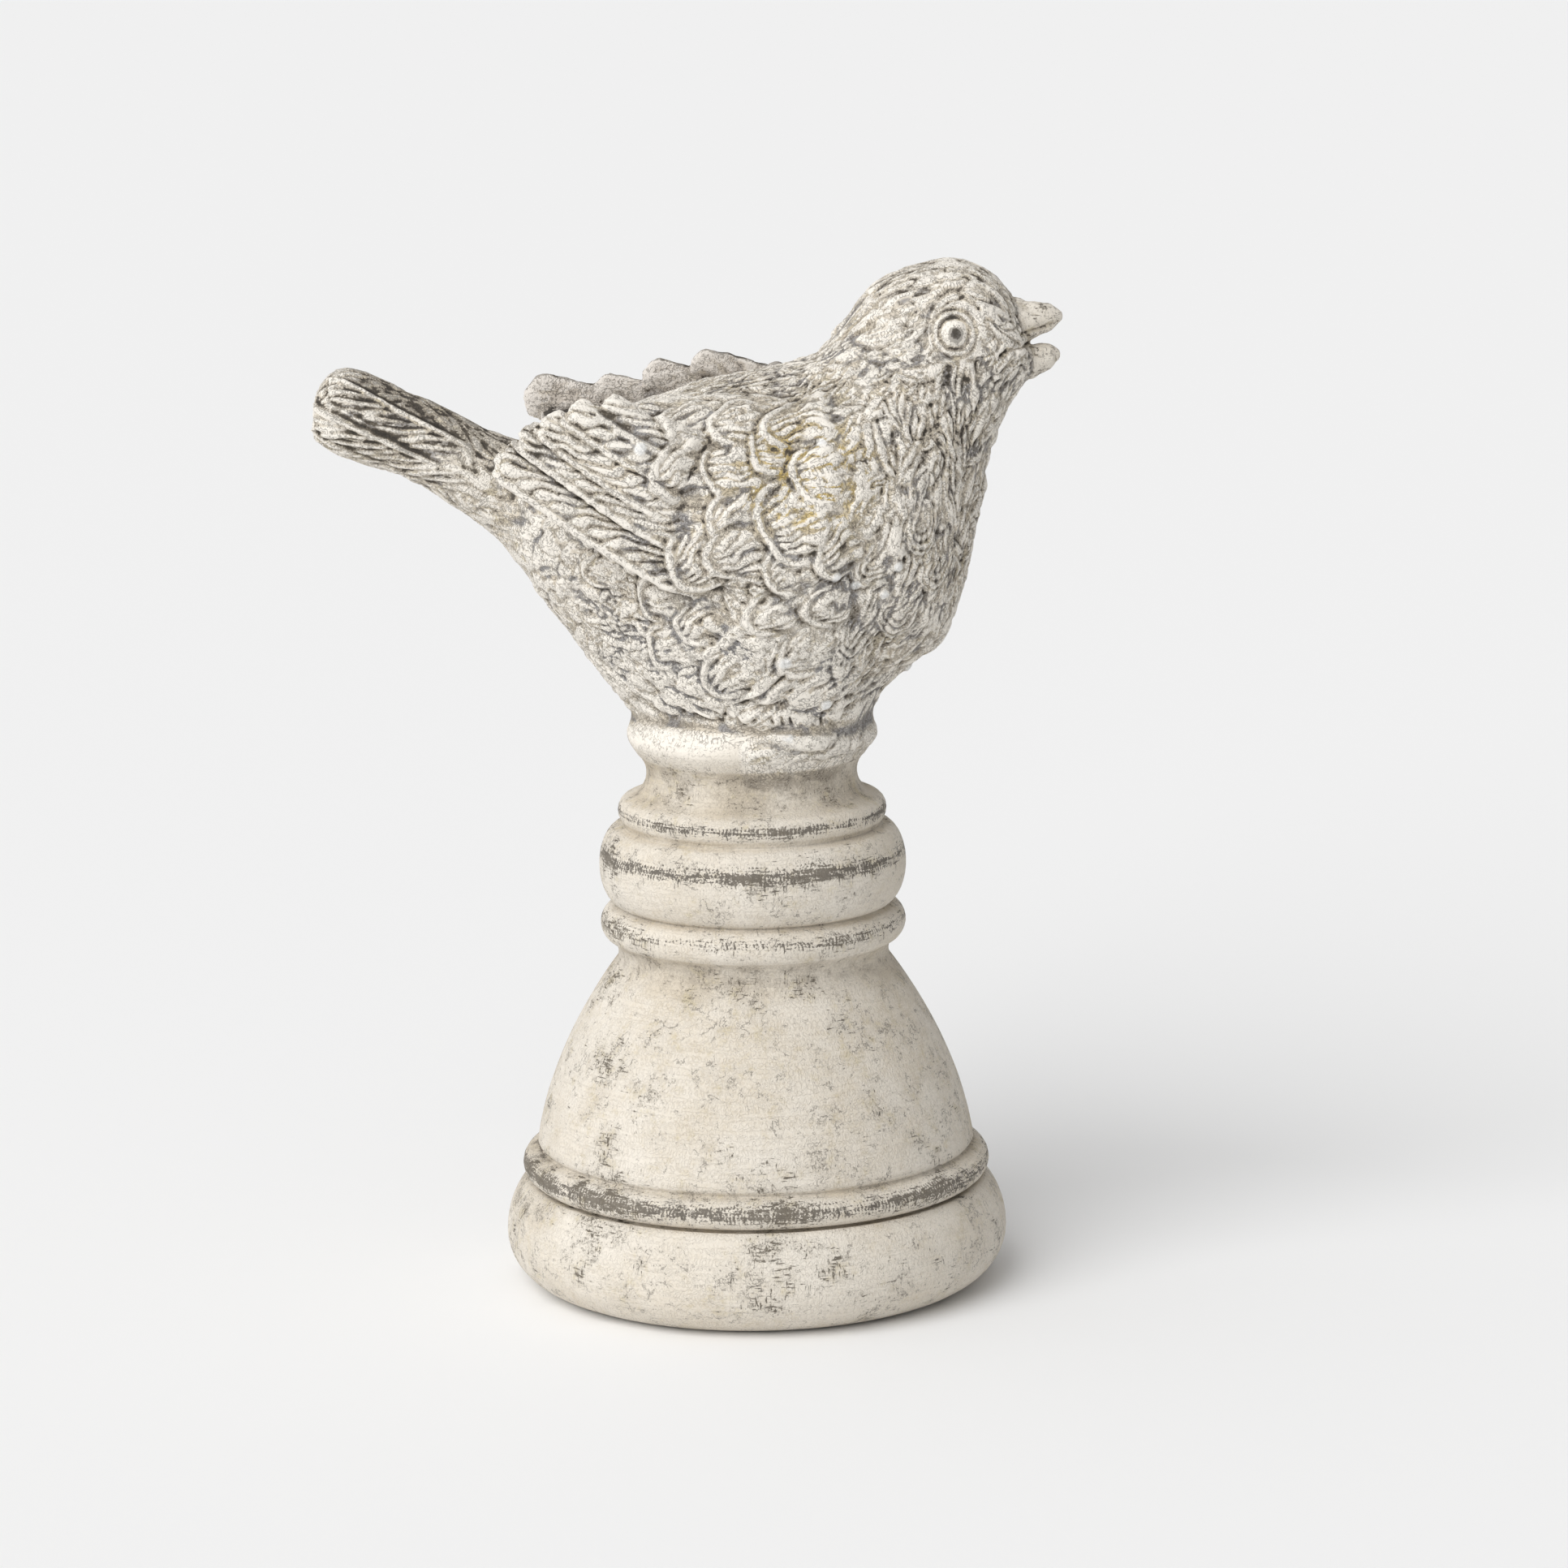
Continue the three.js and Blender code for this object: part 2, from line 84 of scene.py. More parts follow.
class Wire:
    """A node's output socket that takes part in Python arithmetic."""

    def __init__(self, node, output=0):
        self.node = node
        self.socket = node.outputs[output]

    @staticmethod
    def add(tree, kind, settings=None, sockets=None, output=0):
        """A new node: its settings are set first, then its sockets get values or links."""
        node = tree.nodes.new(kind)
        for name, value in (settings or {}).items():
            setattr(node, name, value)
        for name, value in (sockets or {}).items():
            if isinstance(value, Wire):
                tree.links.new(value.socket, node.inputs[name])
            else:
                node.inputs[name].default_value = value
        return Wire(node, output)

    def at(self, output):
        return Wire(self.node, output)

    def math(self, operation, *others):
        values = dict(enumerate((self, *others)))
        return Wire.add(self.node.id_data, "ShaderNodeMath", {"operation": operation}, values)

    def back(self, operation, other):
        """The same with the number first, as in 1 - mask."""
        values = {0: other, 1: self}
        return Wire.add(self.node.id_data, "ShaderNodeMath", {"operation": operation}, values)

    def most(self, other):
        return self.math("MAXIMUM", other)

    __add__ = __radd__ = partialmethod(math, "ADD")
    __sub__ = partialmethod(math, "SUBTRACT")
    __rsub__ = partialmethod(back, "SUBTRACT")
    __mul__ = __rmul__ = partialmethod(math, "MULTIPLY")
    __truediv__ = partialmethod(math, "DIVIDE")
    __rtruediv__ = partialmethod(back, "DIVIDE")
    __pow__ = partialmethod(math, "POWER")
    __mod__ = partialmethod(math, "FLOORED_MODULO")


turning = bpy.data.node_groups.new("turning", "GeometryNodeTree")
build = partial(Wire.add, turning)
for name, kind, direction in (
    ("Profile", "NodeSocketGeometry", "INPUT"), ("Sides", "NodeSocketInt", "INPUT"),
    ("Unevenness", "NodeSocketFloat", "INPUT"), ("Seed", "NodeSocketInt", "INPUT"),
    ("Finish", "NodeSocketMaterial", "INPUT"), ("Turned form", "NodeSocketGeometry", "OUTPUT"),
):
    turning.interface.new_socket(name, in_out=direction, socket_type=kind)
given = turning.nodes.new("NodeGroupInput")
given_profile, given_sides, given_unevenness, given_seed, given_finish = (
    Wire(given, name) for name in ("Profile", "Sides", "Unevenness", "Seed", "Finish"))
rows = build("GeometryNodeAttributeDomainSize", {"component": "MESH"}, {0: given_profile})
columns = given_sides + 1
sheet = build("GeometryNodeMeshGrid", None, {"Vertices X": rows, "Vertices Y": columns})
index = build("GeometryNodeInputIndex")
row = (index / columns).math("FLOOR")
turn = (index % columns) * (2 * math.pi / given_sides)
place = build("GeometryNodeInputPosition")
point = build("GeometryNodeSampleIndex", {"data_type": "FLOAT_VECTOR"},
              {"Geometry": given_profile, "Value": place, "Index": row})
parts = build("ShaderNodeSeparateXYZ", None, {0: point})
ring = build("ShaderNodeCombineXYZ", None, {
    "X": parts.at("X") * turn.math("COSINE"), "Y": parts.at("X") * turn.math("SINE"),
    "Z": parts.at("Z")})
moved = build("GeometryNodeSetPosition", None, {"Geometry": sheet, "Position": ring})
closed = build("GeometryNodeMergeByDistance", None, {"Geometry": moved, "Distance": 1e-4})
lumps = build("ShaderNodeTexNoise", {"noise_dimensions": "4D"}, {
    "Vector": place, "W": given_seed, "Scale": 0.03, "Detail": 3.0})
parts = build("ShaderNodeSeparateXYZ", None, {0: place})
share = (lumps - 0.5) * given_unevenness / ((parts.at("X") ** 2 + parts.at("Y") ** 2) ** 0.5 + 1.0)
standing = parts.at("Z").math("GREATER_THAN", 1.0)
push = build("ShaderNodeCombineXYZ", None, {
    "X": parts.at("X") * share * standing, "Y": parts.at("Y") * share * standing})
uneven = build("GeometryNodeSetPosition", None, {"Geometry": closed, "Offset": push})
outside = build("GeometryNodeFlipFaces", None, {0: uneven})
real = build("GeometryNodeRealizeInstances", None, {0: outside})
painted = build("GeometryNodeSetMaterial", None, {"Geometry": real, "Material": given_finish})
result = turning.nodes.new("NodeGroupOutput")
turning.links.new(painted.socket, result.inputs[0])

finish = bpy.data.materials.new("whitewashed_resin")
profile_mesh = bpy.data.meshes.new("turning_profile")
profile_mesh.from_pydata([(r, 0, z) for r, z in profile], [(i, i + 1) for i in range(len(profile) - 1)], [])


def placed(name, data):
    """A new object in the scene."""
    piece = bpy.data.objects.new(name, data)
    bpy.context.scene.collection.objects.link(piece)
    return piece


pedestal = placed("turned_pedestal", profile_mesh)
lathe = pedestal.modifiers.new("turning", "NODES")
lathe.node_group = turning
sizes = {"Sides": pedestal_sides, "Unevenness": unevenness, "Seed": 5, "Finish": finish}
for item in turning.interface.items_tree:
    if item.name in sizes:
        lathe[item.identifier] = sizes[item.name]


def settle(piece):
    """Turns an object with its modifiers into a plain mesh."""
    bpy.context.view_layer.update()
    made = bpy.data.meshes.new_from_object(piece.evaluated_get(bpy.context.evaluated_depsgraph_get()))
    piece.modifiers.clear()
    piece.data = made
    return made


settle(pedestal)

# The bird's rough forms: body, open beak, half-folded wings and long feathers, as the modeller built
# them up before the plumage was cut. They are lofted through named outlines and melted into one skin.

bird_turn = math.radians(-3)
skin_cell = 0.6
steps_per_row, body_sides, plug_sides = 10, 96, 120
beak_steps, beak_sides, wing_steps, wing_sides = 24, 32, 90, 64

# Outlines of the body from tail to beak: upper x and z, lower x and z, half width, lean of the width.
body_rows = np.array([
    (-135.5, 289.6, -137, 273, 13, 0), (-128.5, 295.4, -130, 268, 16, 0),
    (-103.5, 286.2, -107, 260, 14.5, 0), (-72, 272.2, -83, 243.2, 14, 0.05),
    (-57, 274, -65.5, 221.6, 27, 0.15), (-33.6, 284.5, -45, 194, 41, 0.3),
    (-10.6, 291.5, -20, 165, 50, 0.35), (9.8, 295.2, 5, 154, 53, 0.35),
    (21.3, 299, 30, 168, 52.5, 0.33), (23, 300.8, 42.5, 193, 51.5, 0.22),
    (25.2, 303, 62.5, 211.5, 48, 0.1), (28, 306.3, 72.2, 246.2, 40, 0),
    (31.9, 311.2, 77, 271.2, 31, -0.05), (38.6, 320.4, 83.3, 283.8, 25, 0),
    (51.6, 326.8, 86.6, 289.6, 22.8, 0), (66.1, 329, 88.6, 292, 20, 0),
    (77.2, 324.2, 89.9, 293.2, 15, 0), (83.9, 316.4, 90.7, 295.3, 9, 0),
])
upper_beak_rows = np.array([
    (81, 318, 82, 302.5, 9, 0), (87, 315.7, 86.2, 303, 6.6, 0), (92.3, 315.2, 91.5, 305.3, 4.9, 0),
    (96.4, 314, 95.6, 307.2, 3.4, 0), (98.9, 311.8, 98.5, 309.8, 1.6, 0),
])
lower_beak_rows = np.array([
    (81, 301, 84, 290, 8, 0), (87.5, 301, 87.9, 291.2, 6.2, 0), (92, 302.1, 92.3, 293.6, 4.8, 0),
    (95.6, 301.9, 95.4, 295.2, 3.4, 0), (97.9, 300.3, 97.9, 297.6, 1.7, 0),
])
# A wing from shoulder to tip: upper edge x, y, z, lower edge x, y, z, thickness.
wing_rows = np.array([
    (38, -31, 274, 37, -40, 248, 12), (22, -28, 287, 19, -46, 234, 28),
    (0, -28, 290.5, -3, -47, 229, 36), (-22, -31, 290, -20, -51, 232, 27),
    (-42, -41, 288, -38, -53, 242, 12), (-58, -48, 284, -57, -53.5, 256.5, 6),
    (-71, -51, 278.5, -72, -53, 270, 4),
])
far_wing_rows = np.array([
    (38, 31, 274, 37, 40, 248, 12), (22, 28, 286, 19, 46, 234, 28),
    (0, 30, 285, -3, 47, 229, 36), (-22, 36, 281, -20, 51, 233, 27),
    (-42, 43, 277, -38, 53, 243, 14), (-58, 48, 275, -57, 53, 256, 8),
    (-70, 50, 274, -70, 52, 267, 5),
])
# Long wing feathers, near side and far side: root x, y, z, tip x, y, z, width.
near_quills = [
    ((-14, -55, 229.5), (-77.5, -53.5, 271), 11.5), ((-16, -56, 243), (-69.5, -54.4, 279), 11),
    ((-20, -56.5, 253.5), (-62.5, -55, 283), 11), ((-18, -55.5, 265), (-54, -54.2, 286), 10.5),
    ((-14, -52, 272), (-43.5, -51.5, 287.5), 9.5),
]
far_quills = [
    ((-20, 54, 256), (-78, 51.5, 273.4), 16), ((-8, 54, 261), (-55, 50, 276.8), 12.5),
    ((6, 52, 268), (-38.5, 47.5, 282.5), 11.5), ((16, 50, 273), (-22.5, 46, 286.5), 11),
    ((28, 46, 274), (0.5, 43, 282.5), 10.5),
]


def lengths(vectors):
    return np.linalg.norm(vectors, axis=1, keepdims=True)


def way_between(start, end):
    """The direction from one point to another, and how far apart they are."""
    length = np.linalg.norm(end - start)
    return (end - start) / length, length


def square_to(along, vector):
    """The part of a vector that stands square to a direction, made 1 long."""
    rest = vector - along * (vector @ along)
    return rest / np.linalg.norm(rest)


def circle(sides):
    """Cosines and sines round a full turn, shaped to spread over rows of points."""
    angle = np.linspace(0, 2 * np.pi, sides, endpoint=False)
    return np.cos(angle)[None, :, None], np.sin(angle)[None, :, None]


def blunt_end(share):
    """Half widths along a feather's round tip: 1 where it starts, at 0, and 0 at its end, at 1."""
    return np.sqrt(1 - np.clip(share, 0, 1) ** 2)


def through(rows, t):
    """Points at t from 0 to 1 along a smooth curve through the rows."""
    ends = 2 * rows[0] - rows[1], 2 * rows[-1] - rows[-2]
    padded = np.vstack([ends[0], rows, ends[1]])
    s = np.clip(t, 0, 1) * (len(rows) - 1)
    i = np.minimum(s.astype(int), len(rows) - 2)
    w = (s - i)[:, None]
    a, b, c, d = (padded[i + k] for k in range(4))
    ab, bc, cd = (np.maximum(lengths(q - p) ** 0.5, 1e-4) for p, q in ((a, b), (b, c), (c, d)))
    leave = ((b - a) / ab - (c - a) / (ab + bc) + (c - b) / bc) * bc
    arrive = ((c - b) / bc - (d - b) / (bc + cd) + (d - c) / cd) * bc
    return ((2 * b - 2 * c + leave + arrive) * w ** 3
            + (-3 * b + 3 * c - 2 * leave - arrive) * w ** 2 + leave * w + b)


def ovals(rows, steps, sides):
    """Rings of points between an upper and a lower outline in the x, z plane."""
    t = np.linspace(0, 1, steps + 1)
    top, bottom, width = (through(rows[:, k:k + 2], t) for k in (0, 2, 4))
    cosine, sine = circle(sides)
    middle, half = (top + bottom) / 2, (top - bottom) / 2
    flat = middle[:, None] + half[:, None] * cosine
    y = -width[:, None, :1] * sine * (1 + width[:, None, 1:] * cosine)
    return np.concatenate([flat[..., :1], y, flat[..., 1:]], 2)


def blades(rows, steps, sides):
    """Rings of points between a wing's upper and lower edge, with its thickness across."""
    t = np.linspace(0, 1, steps + 1)
    top, bottom, thick = (through(rows[:, a:b], t) for a, b in ((0, 3), (3, 6), (6, 7)))
    cosine, sine = circle(sides)
    chord = top - bottom
    across = np.stack([0 * t, -chord[:, 2], chord[:, 1]], 1)
    across /= lengths(across)
    middle = (top + bottom)[:, None] / 2
    return middle + chord[:, None] * 0.5 * cosine + (across * thick / 2)[:, None] * sine


def quill(root, tip, width, side, sag, thick=4.2, steps=26, sides=20):
    """Rings of a long feather with a blunt round tip. Its shaft is the lower edge."""
    root, tip = np.array(root, float), np.array(tip, float)
    along, length = way_between(root, tip)
    out = square_to(along, np.array([0, side, 0.0]))
    up = np.cross(along, out) * side
    up *= np.sign(up[2])
    t = np.linspace(0, 1, steps + 1)
    cosine, sine = circle(sides)
    blunt = blunt_end(1 - (1 - t) * length / (width * 0.36))
    half = width / 2 * np.maximum(blunt, 0.08)
    bow = sag * np.sin(np.pi * t)
    centre = root + along * (length * t)[:, None] + up * (width / 2 + bow)[:, None]
    centre -= out * (3.5 * np.clip(1 - t / 0.3, 0, 1) ** 2)[:, None]
    ring = (up * half[:, None])[:, None] * cosine
    rise = (thick / 2 * np.maximum(blunt, 0.3))[:, None, None] * out * sine
    tilt = out * (-0.26 * half[:, None, None] * cosine)
    return centre[:, None] + ring + rise + tilt


body_rings = ovals(body_rows, steps_per_row * (len(body_rows) - 1), body_sides)
# The plug is the pedestal's neck and top ring, a little smaller, for the plumage to run down on.
plug = (profile[-20:-1] - [0.9, 0.35])[:, None]
cosine, sine = circle(plug_sides)
plug_rings = np.concatenate([plug[..., :1] * cosine, plug[..., :1] * sine, plug[..., 1:] + 0 * sine], 2)
forms = {
    "body": [body_rings], "plug": [plug_rings],
    "beak": [ovals(rows, beak_steps, beak_sides) for rows in (upper_beak_rows, lower_beak_rows)],
    "near wing": [blades(wing_rows, wing_steps, wing_sides)] + [quill(*q, -1, -1.5) for q in near_quills],
    "far wing": [blades(far_wing_rows, wing_steps, wing_sides)] + [quill(*q, 1, 1.2) for q in far_quills],
}
corners, faces, labels = [], [], []
for label, rings in ((k, rings) for k, group in enumerate(forms.values()) for rings in group):
    steps, sides = rings.shape[:2]
    start = len(corners)
    corners.extend(rings.reshape(-1, 3).tolist())
    corners.extend([rings[0].mean(0).tolist(), rings[-1].mean(0).tolist()])
    for i in range(steps - 1):
        for j in range(sides):
            a, b = start + i * sides + j, start + i * sides + (j + 1) % sides
            faces.append((a, b, b + sides, a + sides))
    for end, centre in ((0, start + steps * sides), (steps - 1, start + steps * sides + 1)):
        for j in range(sides):
            a, b = start + end * sides + j, start + end * sides + (j + 1) % sides
            faces.append((centre, b, a) if end == 0 else (centre, a, b))
    labels.extend([label] * (steps * sides + 2))
rough = bpy.data.meshes.new("bird_forms")
rough.from_pydata(corners, [], faces)
bird = placed("bird_forms", rough)
melt = bird.modifiers.new("melt", "REMESH")
melt.mode = "VOXEL"
melt.voxel_size = skin_cell
skin = settle(bird)


def numbers(source, key, width):
    """What a mesh's vertices or edges hold, as an array."""
    stored_as, used_as = (np.int32, int) if key == "vertices" else (np.float32, float)
    values = np.empty(len(source) * width, stored_as)
    source.foreach_get(key, values)
    return values.reshape(-1, width).astype(used_as)


def move_to(mesh, points):
    mesh.vertices.foreach_set("co", points.astype(np.float32).ravel())
    mesh.update()


def relaxed(points, edges, passes, amount):
    """Each value moves towards the mean of its neighbours."""
    a, b = edges.T
    count = np.bincount(edges.ravel(), minlength=len(points))[:, None]
    for _ in range(passes):
        total = np.stack([np.bincount(a, column[b], len(points)) + np.bincount(b, column[a], len(points))
                          for column in points.T], 1)
        points = points + amount * (total / count - points)
    return points


edges = numbers(skin.edges, "vertices", 2)
base = relaxed(numbers(skin.vertices, "co", 3), edges, 6, 0.5)
move_to(skin, base)
normal = relaxed(numbers(skin.vertex_normals, "vector", 3), edges, 5, 0.5)
normal /= lengths(normal)

# The plumage, cut into the rough bird by hand before it was moulded: combed strokes on the crown, leaf
# shaped tufts on cheeks, neck, breast and belly, scalloped coverts and long barbed quills.

random = np.random.default_rng(7)
height = np.zeros(len(base))


def grain(points, size, seed):
    """Smooth noise from 0 to 1, with lumps of the given size."""
    q = points / size + seed * 17.31
    cell = np.floor(q).astype(np.int64)
    f = q - cell
    f = f * f * (3 - 2 * f)
    total = np.zeros(len(points))
    for corner in range(8):
        side = np.array([corner & 1, corner >> 1 & 1, corner >> 2])
        c = cell + side
        key = (c[:, 0] * 73856093) ^ (c[:, 1] * 19349663) ^ (c[:, 2] * 83492791)
        key = (key * 1103515245 + 12345) & 0x7FFFFFFF
        key = ((key >> 13) ^ key) * 60493 & 0x7FFFFFFF
        total += np.prod(np.where(side, f, 1 - f), axis=1) * (key % 65536) / 65535
    return total


def ease(low, high, value):
    """A smooth step from 0 at low to 1 at high."""
    share = np.clip((value - low) / (high - low), 0, 1)
    return share * share * (3 - 2 * share)


def bell(value, width, power=2):
    """1 where the value is 0, falling away to both sides."""
    return np.exp(-np.abs(value / width) ** power)


def patch(x, z, middle_x, middle_z, across, tall):
    """An oval of the side view with a soft edge: 1 inside it, 0 outside."""
    return bell(((x - middle_x) / across) ** 2 + ((z - middle_z) / tall) ** 2, 1)


def row_dots(first, second):
    return np.einsum("ij,ij->i", first, second)


def along_surface(vectors, normals):
    """Directions laid into the surface, with their lengths before they are made 1."""
    flat = vectors - normals * row_dots(vectors, normals)[:, None]
    size = lengths(flat)
    return flat / np.maximum(size, 1e-6), size


def nearest_to(places, points):
    """For each point, which of the places is nearest."""
    tree = KDTree(len(places))
    for i, place in enumerate(places):
        tree.insert(place, i)
    tree.balance()
    return np.array([tree.find(p)[1] for p in points.tolist()])


# Where each point of the skin lies on the body: place along it, angle about it, nearest form.
label = np.array(labels)[nearest_to(corners, base)]
on_body = nearest_to(body_rings.reshape(-1, 3).tolist(), base)
ring_along = np.gradient(body_rings, axis=0)
ring_around = (np.roll(body_rings, -1, 1) - np.roll(body_rings, 1, 1)) / 2
i_ring, j_ring = on_body // body_sides, on_body % body_sides
offset = base - body_rings[i_ring, j_ring]
tangent = ring_along[i_ring, j_ring]
around = ring_around[i_ring, j_ring]
station = (i_ring + row_dots(offset, tangent) / row_dots(tangent, tangent)) / steps_per_row
angle = (j_ring + row_dots(offset, around) / row_dots(around, around)) / body_sides * 360
angle = (angle + 180) % 360 - 180            # 0 on the crest, 180 under the belly
path = np.concatenate([[0], np.cumsum(np.linalg.norm(np.diff(body_rings.mean(1), axis=0), axis=1))])
travel = np.interp(station * steps_per_row, np.arange(len(path)), path)

is_body, is_plug, is_beak, is_wing = label == 0, label == 1, label == 2, label >= 3
x, y, z = base.T

# The way the tufts point, in the side view: x, z, degrees from the beak's direction upwards.
flow_anchors = np.array([
    (88, 316, 160), (66, 331, 183), (30, 308, 222), (20, 297, 190), (0, 293, 182), (50, 304, 205),
    (66, 291, 238), (84, 288, 250), (78, 268, 262), (48, 278, 228), (30, 262, 205), (75, 248, 262),
    (60, 235, 252), (62, 212, 235), (42, 208, 222), (42, 240, 222), (12, 222, 196), (-20, 218, 190),
    (-38, 236, 172), (-70, 250, 160), (-110, 268, 160),
])
weight = 1 / (np.hypot(flow_anchors[:, 0] - x[:, None], flow_anchors[:, 1] - z[:, None]) ** 3 + 20)
flow_angle = np.radians(flow_anchors[:, 2])
way = np.stack([weight @ np.cos(flow_angle), 0 * x, weight @ np.sin(flow_angle)], 1) / weight.sum(1)[:, None]
way, clearness = along_surface(way / lengths(way), normal)
tailward, _ = along_surface(-tangent, normal)
way, _ = along_surface(way * clearness + tailward * np.clip(1.1 - clearness, 0, 1), normal)
sway = ((grain(base, 17, 21) - 0.5) * 1.8 + (grain(base, 7, 22) - 0.5) * 0.3)[:, None]
sway = sway * (1 - 0.6 * ease(12.2, 13.4, station) * ease(95, 60, np.abs(angle)))[:, None]
way = way * np.cos(sway) + np.cross(normal, way) * np.sin(sway)
course = way.copy()                          # the way of the finest scratches, feather by feather


def comb(ways, size, reach, seed):
    """Fat strands from 0 to 1 that follow the given ways, parted by narrow wandering grooves."""
    total = sum(grain(base + ways * k, size, seed) for k in np.linspace(-reach, reach, 11))
    total = (total - total.mean()) / total.std()
    return np.minimum(np.abs(total) / 0.9, 1) ** 0.6


def near_point(px, pz, side):
    """The outermost vertex of one side at a place in the side view."""
    return np.argmax(y * side - 12 * np.maximum(np.hypot(x - px, z - pz) - 1.3, 0))


def frame_at(i, heading, reach):
    """Vertices near vertex i with their places along a heading, across it and off the surface."""
    offset = base - base[i]
    found = np.where((row_dots(offset, offset) < reach * reach) & (normal @ normal[i] > 0.1))[0]
    out = normal[found].mean(0)
    out /= np.linalg.norm(out)
    found = found[normal[found] @ out > 0.1]
    along = square_to(out, heading)
    across = np.cross(out, along)
    offset = offset[found]
    return found, offset @ along, offset @ across, offset @ out, np.stack([along, across])


def lay(found, value, cover, ways=None):
    """Lays a feather over what is there, as far as its cover says."""
    cover = np.clip(cover, 0, 1)
    height[found] += cover * (value - height[found])
    if ways is not None:
        ways = ways / np.maximum(lengths(ways), 1e-6)
        course[found] += cover[:, None] * (ways - course[found])


def heading_of(degrees):
    return np.array([math.cos(math.radians(degrees)), 0, math.sin(math.radians(degrees))])


def tuft(i, heading, length, width, rise, strands, bend):
    """A leaf of combed strands: level with the skin at its root, proud and undercut at its tip."""
    found, u, v, w, axes = frame_at(i, heading, 0.8 * length)
    u = u / length
    v = v / width - bend * (4 * u * u - 0.5)
    half = 0.5 * np.sin(np.pi * np.clip(u + 0.5, 0, 1) ** 1.35) ** 0.7 + 1e-3
    inside = (half - np.abs(v)) * width
    keep = (inside > -2.5) & (np.abs(u) < 0.56) & (np.abs(w) < 0.4 * length)
    found, u, v, half, inside = found[keep], u[keep], v[keep], half[keep], inside[keep]
    strand = np.abs(np.sin(np.pi * strands * (v / (2 * half) + 0.5))) ** 0.6
    value = rise * (0.15 + 0.85 * (u + 0.5)) * (0.45 + 0.55 * ease(0, 0.3 * width, inside))
    value = value * (0.4 + 0.6 * strand * ease(0.5, 0.3, np.abs(u))) + 0.1
    ways = np.stack([np.ones(len(u)), 8 * bend * u * width / length - 1.2 * v * np.maximum(u, 0)], 1) @ axes
    lay(found, value, ease(-0.2, 0.9, inside) * ease(-0.5, -0.2, u), ways)
    height[found] -= 0.4 * bell(inside + 0.6, 0.7) * ease(-0.25, 0.15, u)


def covert(i, heading, radius, stretch, rise, ridges, seed, fingers=1.25, hollow=0.9, lip=0.05):
    """A scalloped feather: an uneven rim round its tip, and short fat barbs that stand inside it."""
    found, u, v, w, axes = frame_at(i, heading, 1.6 * radius * max(stretch, 1))
    u, v = u / (radius * stretch), v / radius
    theta = np.arctan2(v, u)
    rho = np.hypot(u, v) / (1 + 0.09 * np.sin(2 * theta + seed) + 0.06 * np.sin(3 * theta + 2.3 * seed))
    rho += 0.16 * (grain(base[found], 7, seed + 3) - 0.5)
    keep = (rho < 1.4) & (np.abs(w) < 0.8 * radius)
    found, u, v, rho, theta = found[keep], u[keep], v[keep], rho[keep], theta[keep]
    beyond = (rho - 1) * radius
    level = rise * (0.6 + 0.35 * u)
    fan = np.arctan2(v, 2.4 - u) * ridges + 0.3 * np.sin(seed + 4 * rho)
    fan = fan + 0.9 * (grain(base[found], 4, seed) - 0.5)
    which = np.floor(fan)
    inner = 0.55 * np.abs(np.sin(which * 12.9 + seed * 3.1)) + 0.02
    stands = ease(0.93, 0.7, rho) * np.maximum(ease(inner - 0.25, inner + 0.1, rho), 0)
    stands *= ease(-0.75, -0.2, u)
    finger = np.abs(np.sin(np.pi * fan)) ** 0.8 * stands
    dish = -hollow * ease(0.35, 0.85, rho) * ease(2.2, 1.2, np.abs(theta))
    side = theta + 0.45 * np.sin(seed * 2.7)
    thick = 0.7 + 0.75 * np.cos(np.clip(side, -1.57, 1.57))
    rim = bell(beyond, thick) * ease(1.75, 1.0, np.abs(side))
    value = level + dish + fingers * finger * (0.8 + 0.2 * np.sin(which * 5.3 + seed))
    value += 0.6 * (strokes[found] - 0.5) * (1 - 0.8 * stands)
    rim_top = level + lip + 0.5 * (grain(base[found], 4, seed + 5) - 0.5)
    value += rim * (rim_top - value)
    ways = np.stack([(u - 2.4) * stretch * (1 - rim) - v * rim * 3, v * (1 - rim) + u * rim * 3], 1) @ axes
    lay(found, value, ease(1.9, 0.5, beyond) * ease(-1.15, -0.5, u), ways)
    height[found] -= 0.25 * bell(beyond - 2.1, 0.6) * ease(1.6, 0.9, np.abs(side))


def curl(i, heading, radius, rise, rings):
    """A tuft whose strands follow its round tip, one inside the other."""
    found, u, v, w, axes = frame_at(i, heading, 1.6 * radius)
    u, v = u / radius, v / radius
    v = v + 0.12 * np.sin(3 * u + radius) + 0.5 * (grain(base[found], 5, radius) - 0.5)
    rho = np.hypot(np.maximum(u, 0) * 0.8, v)
    keep = (rho < 1.4) & (u > -1.4) & (np.abs(w) < 0.8 * radius)
    found, u, v, rho = found[keep], u[keep], v[keep], rho[keep]
    value = rise * (0.65 + 0.3 * u) * (0.35 + 0.65 * np.abs(np.sin(np.pi * rings * rho + 0.5)) ** 0.7)
    value += 0.8 * (strokes[found] - 0.6)
    ways = np.stack([np.where(u > 0, -v, 1), np.maximum(u, 0)], 1) @ axes
    lay(found, value, 0.85 * ease(1.1, 0.9, rho) * ease(-1.35, -0.3, u), ways)
    height[found] -= 0.2 * bell((rho - 1.12) * radius, 0.6) * ease(-0.3, 0.2, u)


